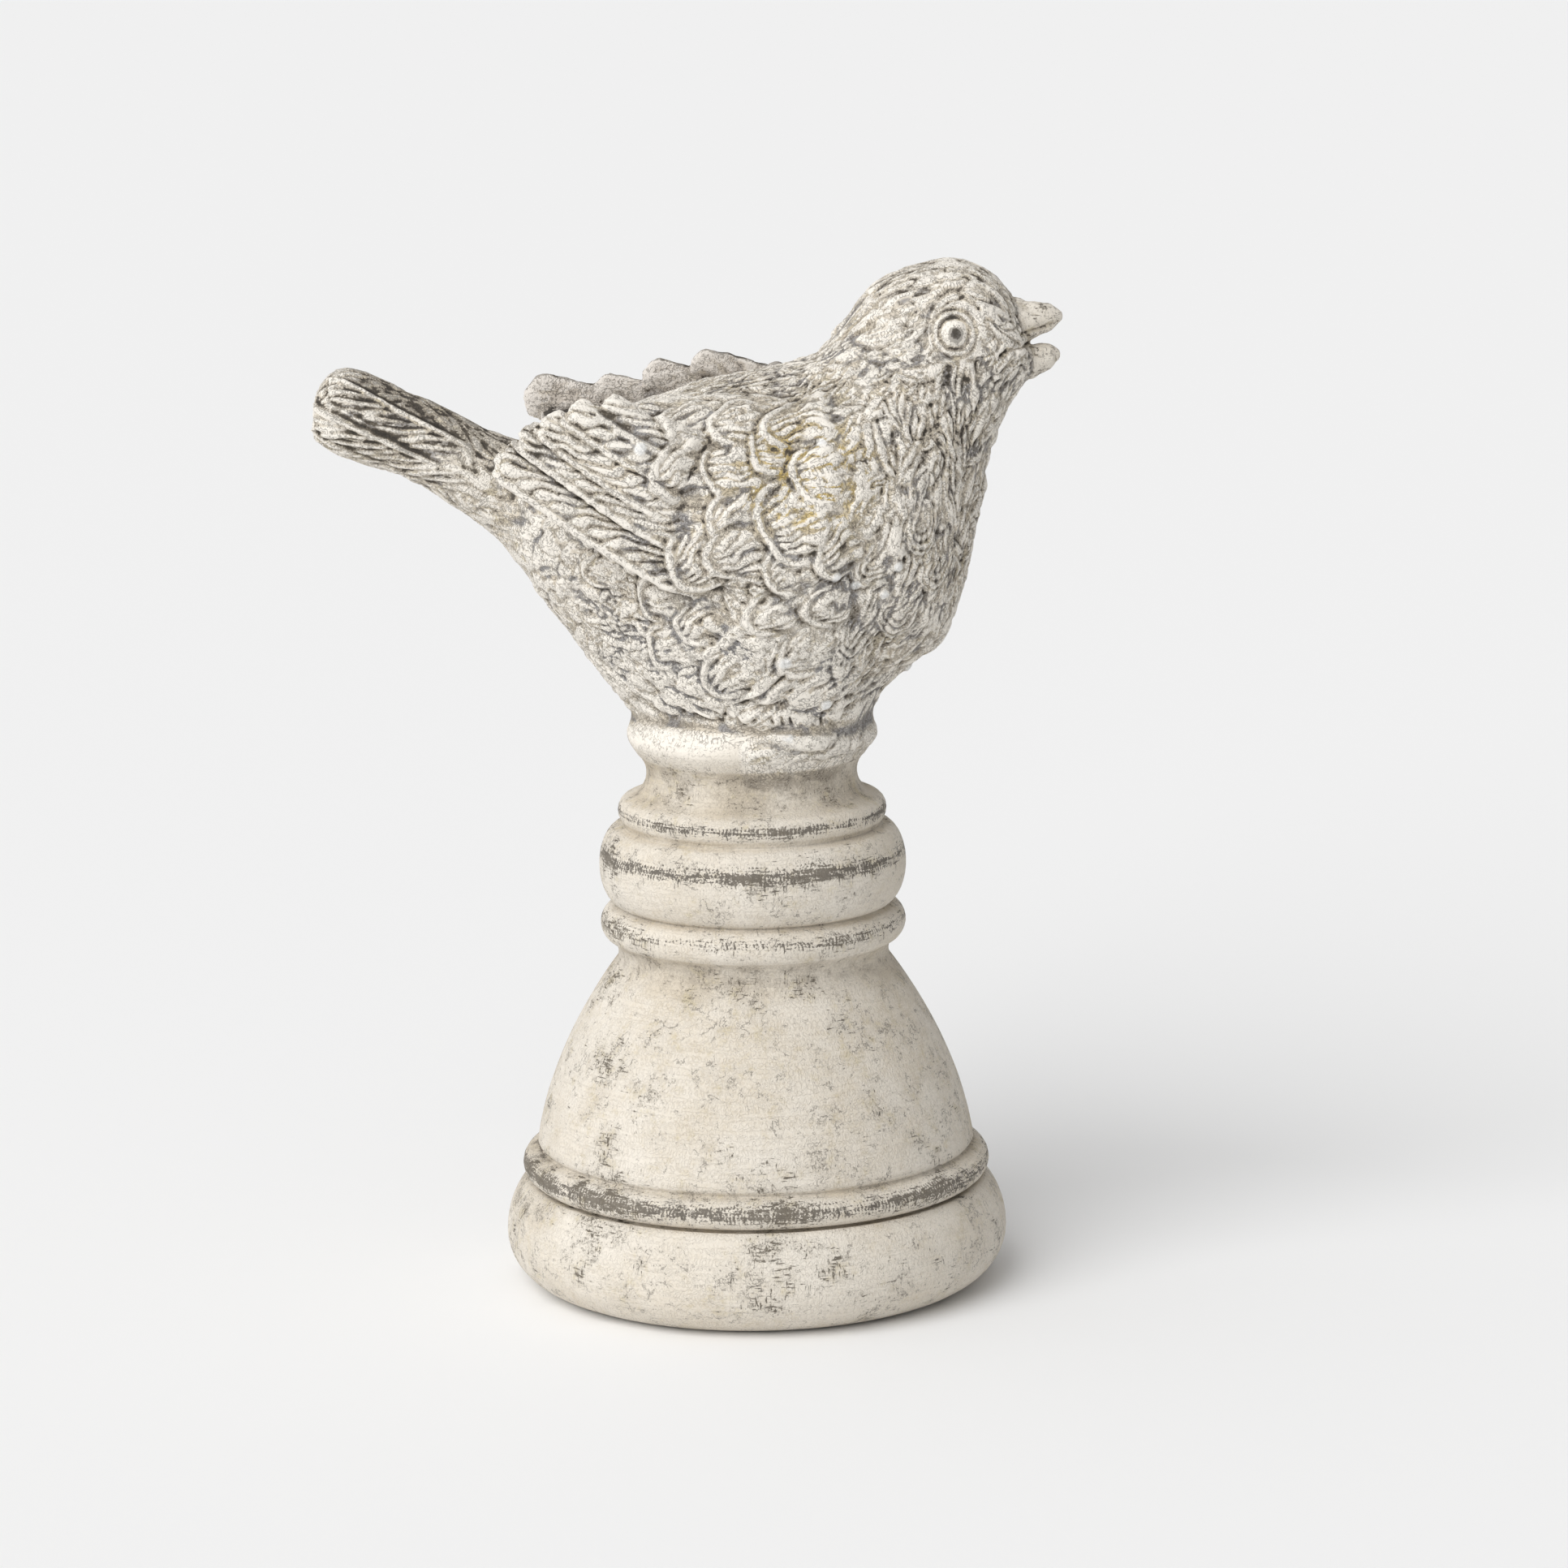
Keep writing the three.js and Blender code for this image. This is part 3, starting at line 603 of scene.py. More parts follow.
def vane(root, tip, side, width, rise=1.2, pitch=2.4, slant=24):
    """A tail feather's relief: a smooth shaft along its upper edge and fat barbs that slant away from it."""
    i, j = near_point(*root, side), near_point(*tip, side)
    middle = (base[i] + base[j]) / 2
    along, length = way_between(base[i], base[j])
    out = square_to(along, normal[i] + normal[j] + normal[np.argmin(((base - middle) ** 2).sum(1))])
    up = np.cross(along, out)
    up *= -np.sign(up[2])
    offset = base - base[i]
    s, q, w = offset @ along, offset @ up, offset @ out
    share = np.clip(s / length, 0, 1)
    q = q - 4 * share * (1 - share)
    round_tip = blunt_end((s - length + width * 0.5) / (width * 0.55))
    keep = (s > -1) & (s < length + 1.5) & (q > -2.5) & (q < width * round_tip + 1.5) & (np.abs(w) < 7)
    keep &= normal @ out > 0.1
    found = np.where(keep)[0]
    s, q, round_tip = s[found], q[found], round_tip[found]
    run, _, climb = heading_of(slant)
    line = (s * climb - q * run) / pitch
    line = line + 0.22 * np.sin(q * 0.7 + np.floor(line) * 2.4)
    which = np.floor(line)
    ends = ease(0.6, 2.6, q) * ease(0.2, 2.2, width * round_tip - q)
    thick = 0.45 + 0.55 * ends
    barb = np.clip(1 - (np.abs(2 * (line - which) - 1) / thick) ** 2.2, 0, 1) * (0.35 + 0.65 * ends)
    value = rise * (1 - 0.7 * np.clip(q / width, 0, 1)) - 0.5
    value += 1.3 * barb * (0.75 + 0.25 * np.sin(which * 7.7))
    value += (rise + 1 - value) * bell(q - 0.2, 0.95)
    ways = along * run + up * climb
    lay(found, value, ease(-1.6, -0.9, q) * ease(-0.2, 0.8, width * round_tip - q) * ease(0, 0.3 * length, s),
        np.where((q > 1.2)[:, None], ways, along))
    height[found] -= 0.5 * bell(q + 1.7, 0.6) * ease(0.15 * length, 0.4 * length, s)


def barbs(seed, root, tip, width, side, sag, pitch=3.1, slant=27):
    """A wing quill's relief: a smooth shaft along its lower edge and fat, nearly level barbs above it."""
    root, tip = np.array(root, float), np.array(tip, float)
    along, length = way_between(root, tip)
    up = square_to(along, np.array([-along[2], 0, along[0]]))
    up *= np.sign(up[2])
    offset = base - root
    s, q = offset @ along, offset @ up
    q = q - sag * np.sin(np.pi * np.clip(s / length, 0, 1))
    gap = np.abs(offset[:, 1] - (tip - root)[1] * s / length)
    top = width * blunt_end((s - length) / (width * 0.4) + 1)
    found = np.where((normal[:, 1] * side > 0.1) & (gap < 8) & (s > 0) & (q > -1.5) & (q < top + 1)
                     & (y * side > 30))[0]
    s, q, top = s[found], q[found], top[found]
    run, _, climb = heading_of(slant)
    line = (s * climb + q * run) / pitch
    line = line + 0.2 * np.sin(q * 0.8 + seed * 2) + 0.7 * (grain(base[found], 5, seed) - 0.5)
    which = np.floor(line)
    start = 1.8 + 1.4 * np.abs(np.sin(which * 3.3 + seed))
    ends = ease(start - 1.2, start + 1.2, q) * ease(0.1, 2.4, top - q)
    thick = 0.5 + 0.45 * ends
    barb = np.clip(1 - (np.abs(2 * (line - which) - 1) / thick) ** 2.4, 0, 1) * (0.25 + 0.75 * ends)
    value = 0.6 + 1.25 * barb * (0.8 + 0.2 * np.sin(which * 7.7)) + 1.05 * ease(2.2, 0.8, q)
    ways = along * run - up * climb
    lay(found, value, ease(-0.9, 0.1, q) * ease(-0.4, 0.6, top - q) * ease(0, 0.15 * length, s),
        np.where((q > 1.6)[:, None], ways, along))
    height[found] -= 0.4 * bell(q + 0.9, 0.6) * ease(0.1 * length, 0.3 * length, s)


def score(places, side, depth, width):
    """A groove cut along points of the side view."""
    places = np.array(places, float)
    low, high = places.min(0) - 4, places.max(0) + 4
    found = np.where((x > low[0]) & (x < high[0]) & (z > low[1]) & (z < high[1]) & (y * side > 1))[0]
    here = np.stack([x[found], z[found]], 1)
    gap = np.full(len(found), 99.0)
    for a, b in zip(places[:-1], places[1:]):
        share = np.clip((here - a) @ (b - a) / ((b - a) @ (b - a)), 0, 1)
        gap = np.minimum(gap, np.linalg.norm(here - a - share[:, None] * (b - a), axis=1))
    gap = gap + (grain(base[found], 4, 31) - 0.5) * 1.6
    height[found] -= depth * bell(gap, width)


def spread(candidates, along, across):
    """Vertices from a shuffled list that keep apart, further along the plumage than across it."""
    chosen = []
    free = np.ones(len(candidates), bool)
    where, ways = base[candidates], way[candidates]
    for k in range(len(candidates)):
        if free[k]:
            chosen.append(candidates[k])
            offset = where - where[k]
            run = offset @ ways[k]
            rest = (offset ** 2).sum(1) - run ** 2
            free &= (run / along) ** 2 + rest / across ** 2 > 1
    return chosen


# A ground of strands over the whole bird, and longer, fatter ones on the crown and the low belly.
eye_index = {side: near_point(66.3, 309.6, side) for side in (-1, 1)}
eye_gap = np.minimum(*(np.linalg.norm(base - base[i], axis=1) for i in eye_index.values()))
crown = is_body & (np.abs(angle) < 62) & (station > 10.6)
low_belly = ease(2, -6, z - (203 + 0.22 * np.maximum(x, 0))) * (x > -52)
strokes = comb(way, 2.1, 8, 1)
smooth_rump = patch(x, z, -72, 236, 22, 16)
height += 0.9 * comb(way, 2.4, 8, 4) * (1 - 0.8 * smooth_rump)
over = ease(66, 54, np.abs(angle)) * ease(10.2, 11.4, station) * is_body * ease(8, 10, eye_gap)
height += over * (0.2 + 0.95 * comb(way, 2.1, 10, 2) - height)
slope = np.where(x < -8, -0.42, 0.6)
hanging, _ = along_surface(np.stack([1 + 0 * x, 0 * x, slope], 1), normal)
draped = low_belly * (is_body | is_plug) * (z > 176)
height += draped * (0.2 + 1.05 * comb(hanging, 2.6, 10, 3) - height)
course += draped[:, None] * (hanging - course)

# Tufts: each region's mask, length, width, rise and count of strands. They are laid from tail to beak,
# so that each one's tip lies over the roots of those behind it.
regions = [
    (is_body & (station > 12.6) & ~crown & (eye_gap > 9), 17, 5.6, 1.1, 3),
    (is_body & (station > 9.6) & (station <= 12.6), 21, 8, 2.1, 4),
    (is_body & (station > 6) & (station <= 9.6) & (np.abs(angle) > 60) & (low_belly < 0.5), 19, 10.5, 2.7, 4),
    (is_body & (station > 4.2) & (station <= 9.6) & (np.abs(angle) <= 60), 16, 7.5, 1.6, 3),
    (is_body & (station > 4.0) & (station <= 6) & (np.abs(angle) > 60), 15, 8, 1.1, 3),
]
tufts = []
places_tried = 9000
for mask, length, width, rise, count in regions:
    points = random.permutation(np.where(mask)[0])[:places_tried]
    for i in spread(points, 0.55 * length, 0.62 * width):
        spin = random.uniform(-0.35, 0.35)
        ahead = way[i] * math.cos(spin) + np.cross(normal[i], way[i]) * math.sin(spin)
        grow = random.uniform(0.7, 1.35)
        wide, proud = width * grow * random.uniform(0.8, 1.2), rise * random.uniform(0.6, 1.3)
        strands, bend = count + random.integers(0, 2), random.uniform(-0.9, 0.9)
        tufts.append((travel[i], i, ahead, length * grow, wide, proud, strands, bend))
for _, *shape in sorted(tufts, key=lambda t: t[0]):
    tuft(*shape)
tufted = ease(54, 66, np.abs(angle)) + ease(11.4, 10.2, station)
tufted = np.clip(tufted, 0, 1) * (1 - draped) * is_body * ease(4.0, 5.0, station)
height = relaxed(height[:, None], edges, 2, 0.5)[:, 0] * (1 - 0.35 * tufted)
own_way, _ = along_surface(course, normal)
height += tufted * (0.95 * comb(own_way, 2.0, 7, 1) - 0.5 + (grain(base, 9, 41) - 0.5) * 1.2)

# Single feathers of the breast and belly that stand out: curled tufts and shallow scallops. Each has
# its place in the side view, radius, stretch along the feather, and the way its tip points.
scallops = [
    (-26, 228.5, 7, 1.15, 200), (-13, 221.5, 7.5, 1.1, 222), (12, 225, 7, 1.25, 215),
    (-24, 212.5, 7, 1.2, 212), (-3.5, 205.5, 8, 1.25, 228), (30, 227, 7, 1.2, 205),
    (20, 211, 7.5, 1.15, 215), (-44, 236, 5.5, 1.2, 190),
]
curls = [(57, 250, 6.5, 262), (62, 237, 7, 240), (42, 239, 6, 235), (36.5, 217, 7.5, 250), (50, 222, 7, 240)]
for side in (-1, 1):
    for k, (px, pz, radius, stretch, degrees) in enumerate(scallops):
        covert(near_point(px, pz, side), heading_of(degrees + 5 * side), radius, stretch, 1.9, 5,
               k * 2.1 + side, fingers=1.1, hollow=1.3, lip=0.2)
    for px, pz, radius, degrees in curls:
        curl(near_point(px, pz, side), heading_of(degrees), radius, 2.0, 3.2)

# Wing quills, then the tail's feathers: root and tip in the side view, and width.
for k, spec in enumerate(near_quills):
    barbs(k, *spec, -1, -1.5)
for k, spec in enumerate(far_quills):
    barbs(k + 7, *spec, 1, 1.2)
tail_vanes = [
    ((-92, 259), (-136, 275.5), 7.5), ((-80, 262.5), (-135.5, 285.5), 8.5), ((-82, 271), (-131, 294), 8.5),
]
for side in (-1, 1):
    for root, tip, width in tail_vanes:
        vane(root, tip, side, width)

# Coverts, from the tail to the breast: place in the side view, radius, stretch, and the tip's way.
covert_list = [
    (-15, 284, 8.6, 1.25, 212), (-14, 271, 9.6, 1.05, 206), (-9, 243.5, 10.6, 1.1, 222),
    (0, 271.5, 9.2, 1.1, 192), (1, 285, 7.8, 1.1, 190), (2, 256.5, 9.2, 1.05, 214),
    (2.5, 244.5, 9.4, 1.05, 208), (11, 277, 7.2, 1.0, 205), (17, 240, 7.8, 1.1, 212),
    (19.5, 284.5, 9.4, 1.2, 212), (20.5, 256, 12.6, 1.08, 206), (27, 271, 8.8, 1.1, 198),
    (33, 246, 8.5, 1.0, 210),
]
for side in (-1, 1):
    for k, (px, pz, radius, stretch, degrees) in enumerate(covert_list):
        i = near_point(px, pz, side)
        covert(i, heading_of(degrees + (0 if side < 0 else 6 * math.sin(k))), radius, stretch, 2.6,
               7 if radius < 10 else 9, k * 1.7 + side)

# The eyes: a domed ball in a round lid, with a groove on each side of the lid. The profile gives
# distances from the eye's middle, and heights.
eye_profile = np.array([
    (0, 2.3), (1.6, 2.0), (3.0, 1.3), (3.9, 0.35), (4.3, 0.0), (4.7, 0.15), (5.3, 0.65), (6.0, 0.7),
    (6.6, 0.4), (7.1, 0.0), (7.6, 0.2), (8.2, 0.5), (9.5, 0.5)]).T
for side, i in eye_index.items():
    found, u, v, _, axes = frame_at(i, np.array([1.0, 0, 0]), 14)
    gap = np.hypot(u, v) * (1 + 0.05 * np.sin(2 * np.arctan2(v, u) + 1))
    gap = gap + 1.4 * (grain(base[found], 9, 61) - 0.5)
    lay(found, np.interp(gap, *eye_profile), ease(9.6, 7.4, gap), np.stack([-v, u], 1) @ axes)

# The foot: a leaf-like pad that lies over the top ring, with two rows of short cuts in it, and the long
# cut above it that ends the belly.
belly_edge = [(-31, 200), (-26, 193), (-17, 188.8), (-7, 188.6), (-5.4, 194), (4, 196), (13.5, 205)]
for side in (-1, 1):
    i = near_point(15, 186, side)
    found, u, v, w, axes = frame_at(i, heading_of(-21), 19)
    half = 6.4 * np.sqrt(np.clip(1 - (u / 16.5) ** 2, 0, 1)) + 1e-3
    inside = half - np.abs(v - 0.8 * np.cos(u / 6))
    run = (u + 0.5 * np.abs(v) + 2.2 * grain(base[found], 5, 51)) / 3.3 + (v > 0) * 0.4
    cut = np.abs(run % 1 - 0.5) * 2
    reach = 1.5 + 2.5 * np.abs(np.sin(np.floor(run + 0.5) * 4.1 + (v > 0)))
    cut = ease(0.5, 0.95, cut) * ease(0.3, 1.2, np.abs(v))
    cut = cut * ease(reach + 1.5, reach, np.abs(v)) * ease(-12, -8, u)
    cut = cut * (0.3 + 1.1 * grain(base[found], 4, 52))
    value = 2.0 * ease(0, 2.5, inside) + 0.3 + 1.7 * is_plug[found] - 1.3 * cut
    pad = ease(-0.4, 0.6, inside)
    lay(found, value, pad * (np.abs(w) < 9))
    course[found] += pad[:, None] * (axes[0] + axes[1] * np.sign(v)[:, None] - course[found])
    height[found] -= 0.6 * bell(inside + 0.8, 0.6) * (np.abs(u) < 16)
    score(belly_edge, side, 1.2, 0.8)

# Long knife strokes on the low belly that run down and forward to the ring.
knife_strokes = 26
for side in (-1, 1):
    for _ in range(knife_strokes):
        px = random.uniform(-42, 44)
        pz = random.uniform(188, 200 + 0.15 * max(px, 0))
        run, fall = random.uniform(3, 8), (-0.35 if px < -8 else 0.55) + random.uniform(-0.15, 0.15)
        middle = (px, pz + random.uniform(-0.8, 0.8))
        places = [(px - run, pz - run * fall), middle, (px + run, pz + run * fall)]
        score(places, side, random.uniform(0.5, 1.1), 0.65)

# Drops of thick white paint that ran off the brush.
drops = [(13.8, 208.6, 1.9), (26.2, 193.2, 1.7), (12.5, 184.7, 1.7), (-29.3, 278.6, 1.8), (30.4, 236.7, 1.5),
         (36.6, 232.8, 1.4), (49.3, 237.9, 1.6), (44.7, 229, 1.4), (51.1, 199.6, 1.4), (26, 279, 1.3)]
paint_drops = np.zeros(len(base))
for px, pz, radius in drops:
    gap = np.linalg.norm(base - base[near_point(px, pz, -1)], axis=1)
    paint_drops = np.maximum(paint_drops, ease(radius + 0.5, radius - 0.5, gap))
height += 0.7 * paint_drops

height += (grain(base, 1.6, 11) - 0.5) * 0.3 + (grain(base, 4.5, 12) - 0.5) * 0.6
height[is_beak] = (grain(base, 2.2, 13)[is_beak] - 0.5) * 0.8 + 0.4
beak_cuts = [
    ([(89, 303.2), (85.5, 302.6), (82.5, 302.3), (80.5, 300.8)], 1.7),
    ([(86.5, 306.6), (91, 307.6), (98, 309.6)], 0.9), ([(96.8, 300), (97.6, 296.5)], 0.9),
    ([(85, 297.5), (88, 295.8)], 0.6),
]
for side in (-1, 1):
    for places, depth in beak_cuts:
        score(places, side, depth, 0.8)
inner_wing = is_wing & (y > 30) & (normal[:, 1] < -0.2)
height[inner_wing] = (grain(base, 3, 15)[inner_wing] - 0.5) * 0.8 + 0.5 + 0.5 * strokes[inner_wing]
far_side = ease(5, 25, y)                    # the back of the piece is worked more softly
height += far_side * (relaxed(height[:, None], edges, 3, 0.5)[:, 0] - height)
sink = np.where(is_beak, 0, 0.8)
carved = base + normal * (height - sink)[:, None]
carved = relaxed(carved, edges, 1, 0.25)

# The plumage ends over the top ring in a wandering line.
skirt = ease(0.42, 0.55, grain(base, 9, 14) + 0.02 * x) * is_plug
radius = np.hypot(carved[:, 0], carved[:, 1])
out = np.stack([carved[:, 0], carved[:, 1], 0 * radius], 1) / np.maximum(radius, 1)[:, None]
carved = carved + out * (skirt * 1.2 * ease(173, 179, z))[:, None]

turn_round = np.array(Matrix.Rotation(bird_turn, 3, "Z"))
carved = carved @ turn_round.T
move_to(skin, carved)

# The casting: bird and pedestal come out of one mould, in stone-filled resin, as one piece. Here the bird is
# thinned to a fair count of faces, and the two forms are joined and scaled to metres.

# With this many faces on the bird, the whole casting stays under 200,000 triangles.
bird_faces, metre = 178000, 0.001
thin = bird.modifiers.new("thin", "DECIMATE")
thin.ratio = min(1, bird_faces / (2 * len(skin.polygons)))
settle(bird)
join = bird.modifiers.new("join", "BOOLEAN")
join.operation = "UNION"
join.solver = "MANIFOLD"
join.object = pedestal
settle(bird)
bpy.data.objects.remove(pedestal)
casting = bird
casting.name = casting.data.name = "bird_statue_casting"
casting.data.transform(Matrix.Scale(metre, 4))
shell = casting.data
shell.polygons.foreach_set("use_smooth", [True] * len(shell.polygons))
shell.materials.clear()
shell.materials.append(finish)
shell.polygons.foreach_set("material_index", [0] * len(shell.polygons))
shell.update()

# The plumage runs out over the top ring without a joint line, so the corner between them is filled.
corner_height, corner_reach = 184, 3.6
foot_x, foot_drop = 15, 9
edges = numbers(shell.edges, "vertices", 2)
points = numbers(shell.vertices, "co", 3) / metre
at_foot = ease(20, 16, np.abs(points[:, 0] - foot_x)) * ease(15, 22, np.abs(points[:, 1]))
corner_here = bell(points[:, 2] - corner_height, corner_reach, 4)
points += corner_here[:, None] * (relaxed(points, edges, 16, 0.5) - points)
move_to(shell, points * metre)
outward = numbers(shell.vertex_normals, "vector", 3)
fine = relaxed(points, edges, 4, 0.5)
# the depth of the broad dells, which the paint below darkens as painted shade, in gaps such as between wing
# and body
broad = relaxed(fine, edges, 24, 0.5)
hollow = row_dots(fine - points, outward)
dell = row_dots(broad - points, outward)
px, py, pz = points.T
near_bird = pz > 165
source = np.zeros(len(points), int)
source[near_bird] = nearest_to(carved.tolist(), points[near_bird])
plumage = ease(175, 183, pz + foot_drop * at_foot + 8 * (grain(points, 9, 14) - 0.5)) * ~is_beak[source]
round_the_axis = np.stack([-py, px, 0 * px], 1) / np.maximum(np.hypot(px, py), 5)[:, None]
scratch_way = (course @ turn_round.T)[source] * plumage[:, None] + round_the_axis * (1 - plumage)[:, None]
scratch_way, _ = along_surface(scratch_way, outward)
scratches = shell.attributes.new("scratches", "FLOAT_VECTOR", "POINT")
scratches.data.foreach_set("vector", scratch_way.astype(np.float32).ravel())

# Where the wash is rubbed off the rings: height, half breadth and strength.
bands = [(154.5, 2.2, 1.1), (141, 3.0, 0.95), (119.5, 3.2, 0.8), (40, 4.0, 1.0), (103, 3.0, 0.3),
         (146, 6, 0.35), (60, 3, 0.25), (20, 9, 0.35)]
rub = sum(strength * bell(pz - level, breadth) for level, breadth, strength in bands)
ochre = patch(px, pz, 18, 268, 22, 17) * (pz > 200)
bare_wing = inner_wing[source] * (pz > 200)

# Where the bird holds more stain, or less, and one patch of painted light: strength, x, z, and half breadth
# in x and z.
stains_and_bounce_light = [
    (0.5, -112, 276, 34, 26), (0.95, 96.5, 304, 4.5, 9), (0.7, 58, 323, 26, 10), (0.7, 62, 279, 10, 7),
    (0.5, -66, 282, 10, 8), (0.6, 0, 292, 22, 4), (0.6, 66, 296, 7, 5), (0.35, 66, 245, 10, 30),
    # painted light: the first patch here whitens the down-facing low belly, as light bounced up from the
    # floor would
    (-1.1, -10, 203, 45, 18), (-0.5, -72, 240, 24, 17), (-0.25, -40, 262, 30, 16), (-0.25, 10, 262, 26, 22),
]
stain_and_bounce_light = np.zeros(len(points))
for strength, *oval in stains_and_bounce_light:
    stain_and_bounce_light += strength * patch(px, pz, *oval) * (pz > 190)
upward = ease(0.1, 0.6, outward[:, 2])
inner_edge = (py > 36) * (pz > 270) * (px < 16) * ease(0.35, 0.05, outward[:, 1])
stain_and_bounce_light += 2.1 * inner_edge * ease(0.3, 0.8, outward[:, 2]) + 0.85 * upward * ease(-60, -70, px)
for i in eye_index.values():
    gap = np.linalg.norm(points - carved[i] - [0.5, 0, -0.5], axis=1)
    stain_and_bounce_light += 4.6 * bell(gap, 2.3, 3)
turned_part = 1 - ease(172, 181, pz + foot_drop * at_foot)
for name, values in {
    "hollow": hollow * (1 - turned_part) + np.clip(hollow, -0.12, 0.12) * turned_part,
    "dell": dell * (1 - turned_part) + np.clip(dell * 0.3, -0.1, 0.15) * turned_part,
    "plumage": plumage, "rub": np.minimum(rub, 1) * ease(190, 182, pz), "ochre": ochre,
    "drops": paint_drops[source] * (pz > 172), "bare_wing": bare_wing, "stained": stain_and_bounce_light,
}.items():
    shell.attributes.new(name, "FLOAT", "POINT").data.foreach_set("value", values.astype(np.float32))

# The finish of the casting: a dark brown-grey stain wiped into every hollow, painted shade that darkens the
# broad dells and the gaps between wing and body, a chalky white wash brushed over it and rubbed back along
# the rings, with touches of ochre and slate on the bird, and the low belly painted lighter as if lit from
# below.


def paint(red, green, blue):
    """A colour from its screen values, 0 to 255."""
    return tuple(((c / 255 + 0.055) / 1.055) ** 2.4 for c in (red, green, blue)) + (1,)


finish.use_nodes = True
paint_tree = finish.node_tree
paint_tree.nodes.clear()
node = partial(Wire.add, paint_tree)


def step(low, high, value):
    """0 below low, 1 above high."""
    return node("ShaderNodeMapRange", {"interpolation_type": "SMOOTHSTEP"},
                {"Value": value, "From Min": low, "From Max": high})


def blend(factor, first, second):
    return node("ShaderNodeMix", {"data_type": "RGBA"}, {0: factor, 6: first, 7: second}, 2)


def stored(name, output="Fac"):
    return node("ShaderNodeAttribute", {"attribute_name": name}, None, output)


def noise(size, detail=3.0, rough=0.5, squeeze=(1, 1, 1), shift=(0, 0, 0), place=None):
    """Noise about 0, mostly from -0.5 to 0.5, with lumps of the given size in millimetres."""
    mapped = node("ShaderNodeMapping", {"vector_type": "POINT"},
                  {"Vector": place or coordinates, "Scale": squeeze, "Location": shift})
    fac = node("ShaderNodeTexNoise", None, {
        "Vector": mapped, "Scale": 1 / (size * metre), "Detail": detail, "Roughness": rough})
    return (fac - 0.5) * 2.4


coordinates = node("ShaderNodeTexCoord", None, None, "Object")
in_hollow, in_dell, on_bird, rubbed, warm, dropped, bare, stained = (
    stored(n) for n in ("hollow", "dell", "plumage", "rub", "ochre", "drops", "bare_wing", "stained"))

patches = noise(32, 4, 0.6)
clouds = noise(14, 4, 0.65, shift=(0.1, 0, 0))
mottle = noise(4.5, 4, 0.7, shift=(0, 0.1, 0))
dust = noise(1.1, 3, 0.7)
speck = noise(0.6, 2, 0.7, shift=(0, 0.2, 0))
weft = noise(0.9, 3, 0.65, squeeze=(0.2, 0.2, 1.3))
warp = noise(0.9, 3, 0.65, squeeze=(1.3, 1.3, 0.16), shift=(0, 0, 0.3))

# Fine scratches that run the way each feather was cut, and round the rings: noise smeared along the
# stored way, with narrow grooves where it passes its middle.
scratch_here = stored("scratches", "Vector")


def smeared(size, reach, seed, taps=7):
    """Noise drawn out along the scratches, as far as the reach in millimetres to each side."""
    total = 0.0
    for k in range(taps):
        gone = reach * metre * (2 * k / (taps - 1) - 1)
        place = node("ShaderNodeVectorMath", {"operation": "MULTIPLY_ADD"},
                     {0: scratch_here, 1: (gone, gone, gone), 2: coordinates})
        total = noise(size, 1, 0.5, shift=(seed, 0, 0), place=place) + total
    return total * (2.6 / taps)


hair = smeared(0.8, 3.6, 0.2)
strand = smeared(1.7, 6.0, 0.4)
patchy = mottle + clouds * 0.6 + dust * 0.3
plumed = on_bird * 0.75 + 0.25
groove = step(0.1, 0.02, hair.math("ABSOLUTE")) * step(-0.15, 0.2, patchy + in_dell * 0.4)
furrow = step(0.12, 0.03, strand.math("ABSOLUTE")) * step(-0.35, 0.0, patchy * -1 + in_dell * 0.3)

crack = noise(7, 5, 0.62, shift=(0.7, 0, 0)).math("ABSOLUTE")
crackle = step(0.04, 0.01, crack) * step(-0.15, 0.25, mottle + clouds * 0.7)

white = blend(step(-0.35, 0.35, patches), paint(207, 196, 178), paint(218, 210, 197))
white = blend(step(-0.1, 0.4, clouds) * 0.5, white, paint(190, 179, 162))
white = blend(step(0.1, 0.6, clouds * 0.6 - mottle) * 0.4, white, paint(203, 190, 152))
ochre_share = warm * step(-0.3, 0.15, noise(5, 3, 0.6, shift=(0.3, 0, 0.1)))
ochre_share = ochre_share * step(-0.35, 0.0, in_dell + in_hollow)
white = blend(ochre_share * 0.9, white, paint(208, 180, 98))
slate_share = on_bird * step(-0.06, 0.18, noise(11, 2, 0.5, shift=(0.5, 0.1, 0))) * step(-0.2, 0.2, in_dell)
white = blend(slate_share * 0.85, white, paint(146, 145, 147))
# grey-brown in the hollows: the stain in the fine hollows, and painted shade where the broad dells add to it
sunk = in_dell * 0.5 + in_hollow * 1.0 + mottle * 0.2 + dust * 0.16 + clouds * 0.14 + stained * 0.3
sunk = sunk + hair * 0.3 * plumed
white = blend(step(0.08, 0.5, sunk) * 0.7, white, paint(160, 150, 136))
raised = in_dell * -0.4 - in_hollow * 1.4 + mottle * 0.25 + speck * 0.15 - stained * 0.25
raised = raised - hair * 0.3 * plumed
white = blend(step(-0.04, 0.28, raised) * (on_bird * 0.53 + 0.45), white, paint(243, 237, 227))
white = blend(bare * 0.45, white, paint(214, 207, 203))

# stain soaked into the crevices; where the low belly's share is negative it lightens them instead, as painted
# bounce light
soaked_and_bounce_lit = stained.most(0.0) * 0.24 + stained * 0.08
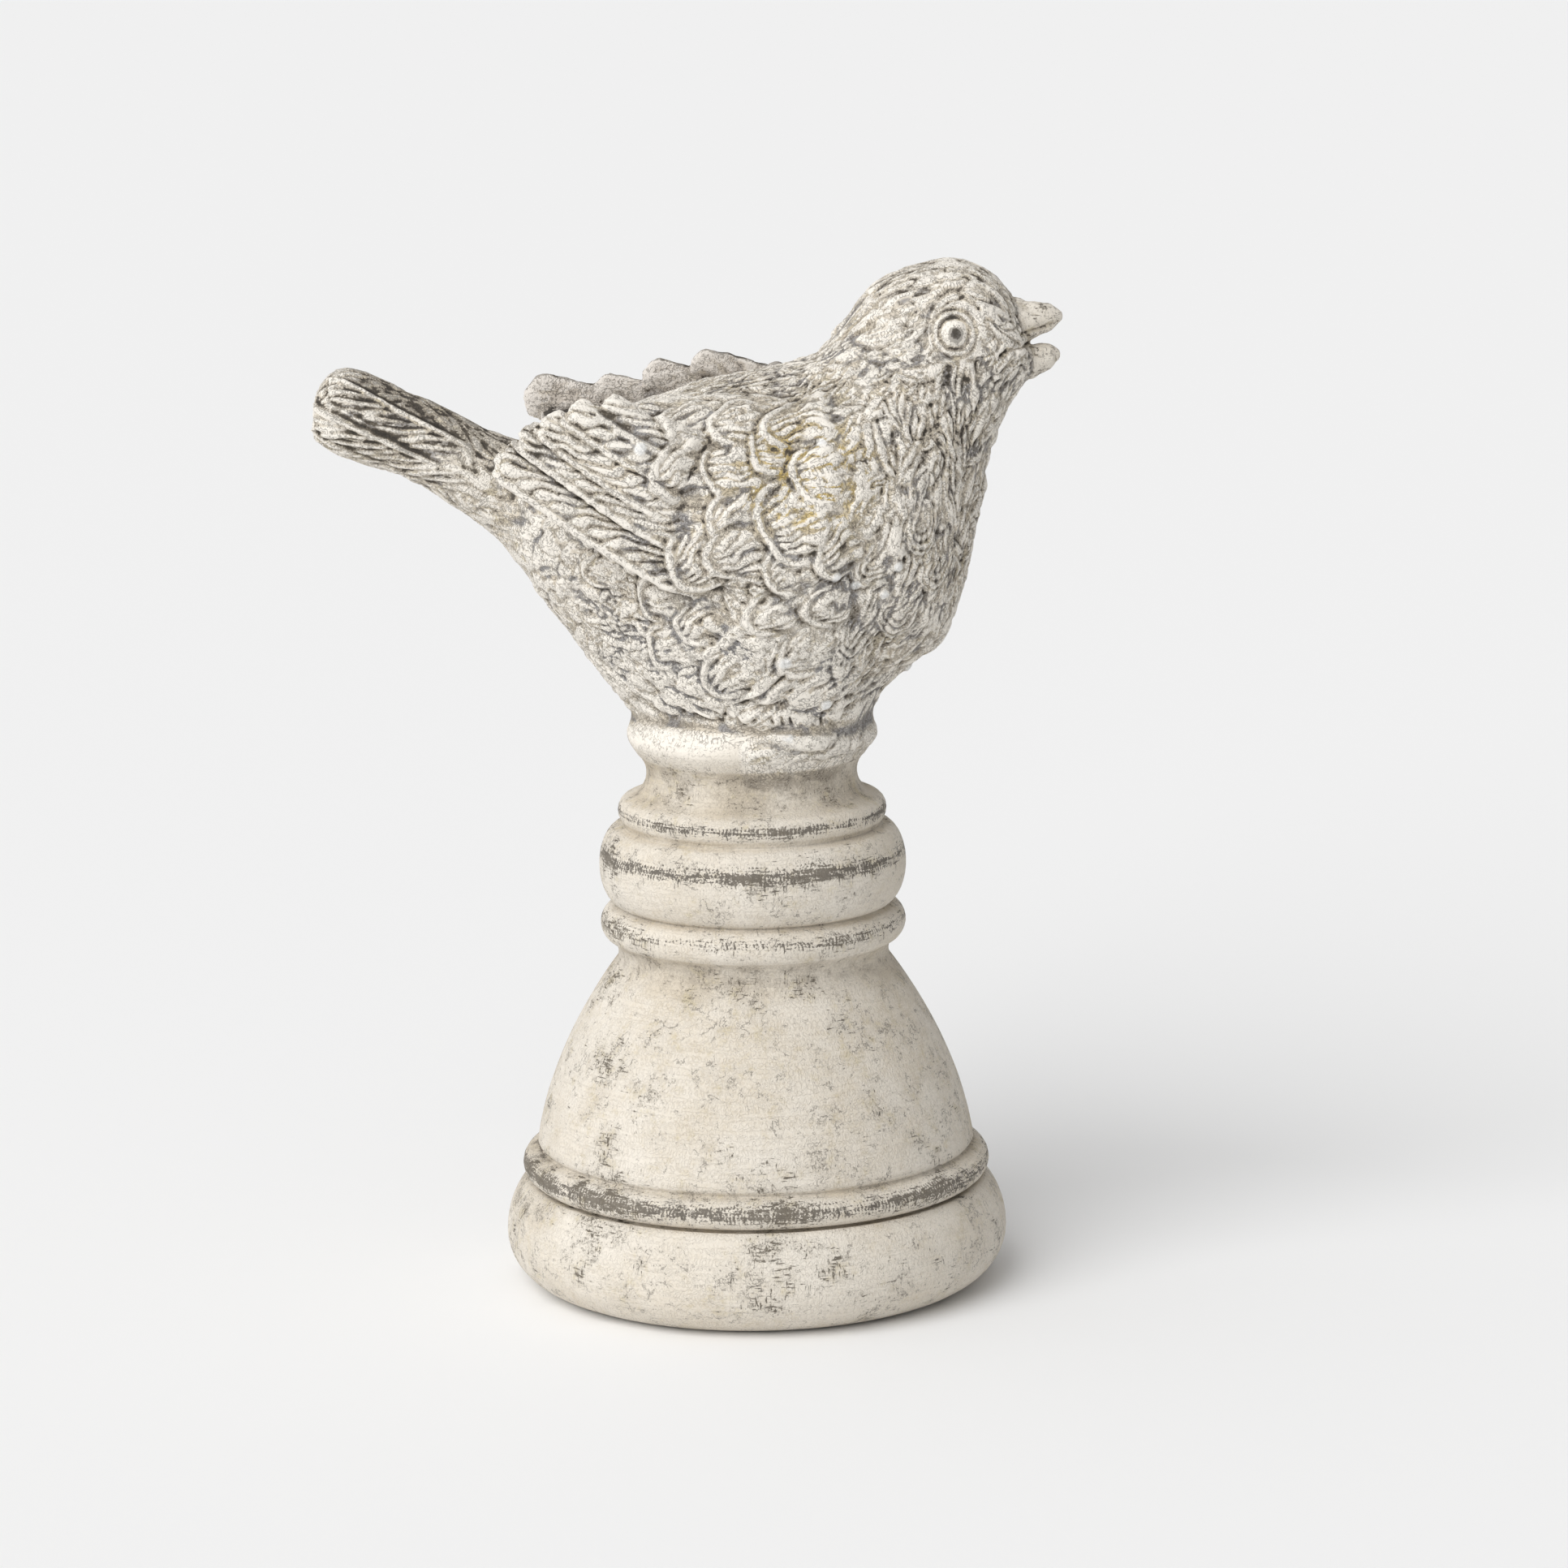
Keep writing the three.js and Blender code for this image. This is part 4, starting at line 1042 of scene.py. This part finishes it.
# the darkest paint: stain in the crevices, with painted shade where the broad dells add to it
deep = in_hollow + in_dell * 0.2 + mottle * 0.25 + clouds * 0.18 + soaked_and_bounce_lit + hair * 0.2 + speck * 0.12
crevice = step(0.28, 0.41, deep)
fleck = step(0.36, 0.5, speck * 0.7 + mottle * 0.5 + stained * 0.35 + clouds * 0.2)
line = (groove * 0.4).most(furrow * 0.5) * (0.2 + on_bird * 0.8)
thread = weft.most(warp)
woven = thread + clouds * 0.6 + patches * 0.5 + rubbed * 0.3 + speck * 0.2
canvas = (step(0.5, 0.62, woven) * 0.65 + step(0.25, 0.55, woven) * 0.25) * (1 - on_bird)
worn = rubbed * 1.1 + thread * 0.8 + dust * 0.4 + speck * 0.4 + hair * 0.5 + mottle * 0.2 + patches * 0.6
band = step(0.9, 1.15, worn)
dark_share = (crevice * 0.9).most(fleck * 0.6).most(canvas).most(band * 0.85).most(crackle * 0.6).most(line)
dark = blend(step(-0.2, 0.3, patches), paint(74, 68, 62), paint(96, 88, 76))
dark = blend(step(0.4, 0.7, deep), dark, paint(50, 46, 42))
colour = blend(dark_share * (1 - dropped), white, dark)
colour = blend(dropped, colour, paint(242, 241, 238))

relief = dust * 0.3 + thread * (1 - on_bird) * 0.4 + speck * 0.2 - dark_share * 0.4
relief = relief - (groove * 0.7 + furrow * 0.9 + hair * 0.3) * (0.3 + on_bird * 0.7)
bump = node("ShaderNodeBump", None, {"Strength": 0.7, "Distance": 0.0005, "Height": relief})
surface = node("ShaderNodeBsdfPrincipled", None, {
    "Base Color": colour, "Roughness": 0.92 - dark_share * 0.2, "Normal": bump,
    "Specular IOR Level": 0.25})
output = paint_tree.nodes.new("ShaderNodeOutputMaterial")
paint_tree.links.new(surface.socket, output.inputs["Surface"])

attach(casting, "root")
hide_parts("bird_statue")

# The setting: a wide pale floor under soft, even light that comes mostly from the upper left, and a
# camera like the photograph's: about 1.8 m away, with a long lens, looking slightly down.

floor_size, floor_white = 14.0, 0.93
key_strength, key_softness, key_way = 2.05, math.radians(50), Vector((0.55, 0.75, -0.75))
sky_left, sky_right = 0.80, 0.28

half = floor_size / 2
floor_mesh = bpy.data.meshes.new("floor")
floor_mesh.from_pydata([(-half, -half, 0), (half, -half, 0), (half, half, 0), (-half, half, 0)], [],
                       [(0, 1, 2, 3)])
floor = placed("floor", floor_mesh)
floor_paint = bpy.data.materials.new("floor_white")
floor_paint.use_nodes = True
floor_sockets = floor_paint.node_tree.nodes["Principled BSDF"].inputs
floor_sockets["Base Color"].default_value = (floor_white, floor_white, floor_white, 1)
floor_sockets["Roughness"].default_value = 0.9
floor_sockets["Specular IOR Level"].default_value = 0.1
floor_mesh.materials.append(floor_paint)

world = bpy.data.worlds.new("studio")
world.use_nodes = True
sky = world.node_tree
to_side = Wire.add(sky, "ShaderNodeSeparateXYZ", None, {0: Wire.add(sky, "ShaderNodeTexCoord")}, "X")
soft = Wire.add(sky, "ShaderNodeMapRange", None, {
    "Value": to_side, "From Min": -1.0, "From Max": 1.0, "To Min": sky_left, "To Max": sky_right})
sky.links.new(soft.socket, sky.nodes["Background"].inputs["Strength"])
sky.nodes["Background"].inputs["Color"].default_value = (1, 1, 1, 1)
bpy.context.scene.world = world
lamp = bpy.data.lights.new("key_light", "SUN")
lamp.energy = key_strength
lamp.angle = key_softness
placed("key_light", lamp).rotation_euler = key_way.to_track_quat("-Z", "Y").to_euler()

lens_pitch, lens_roll, distance = math.radians(11.57), math.radians(-0.6), 1.813
aim = np.array([0.01028, 0, 0.16146])
view = bpy.data.cameras.new("camera")
view.sensor_width = 36
view.lens = 130.43
view.clip_end = 60
camera = placed("camera", view)
ahead = np.array([0, math.cos(lens_pitch), -math.sin(lens_pitch)])
pitched = Matrix.Rotation(math.pi / 2 - lens_pitch, 4, "X")
rolled = Matrix.Rotation(lens_roll, 4, "Z")
camera.matrix_world = Matrix.Translation(aim - ahead * distance) @ pitched @ rolled
bpy.context.scene.camera = camera
bpy.context.scene.view_settings.view_transform = "Standard"
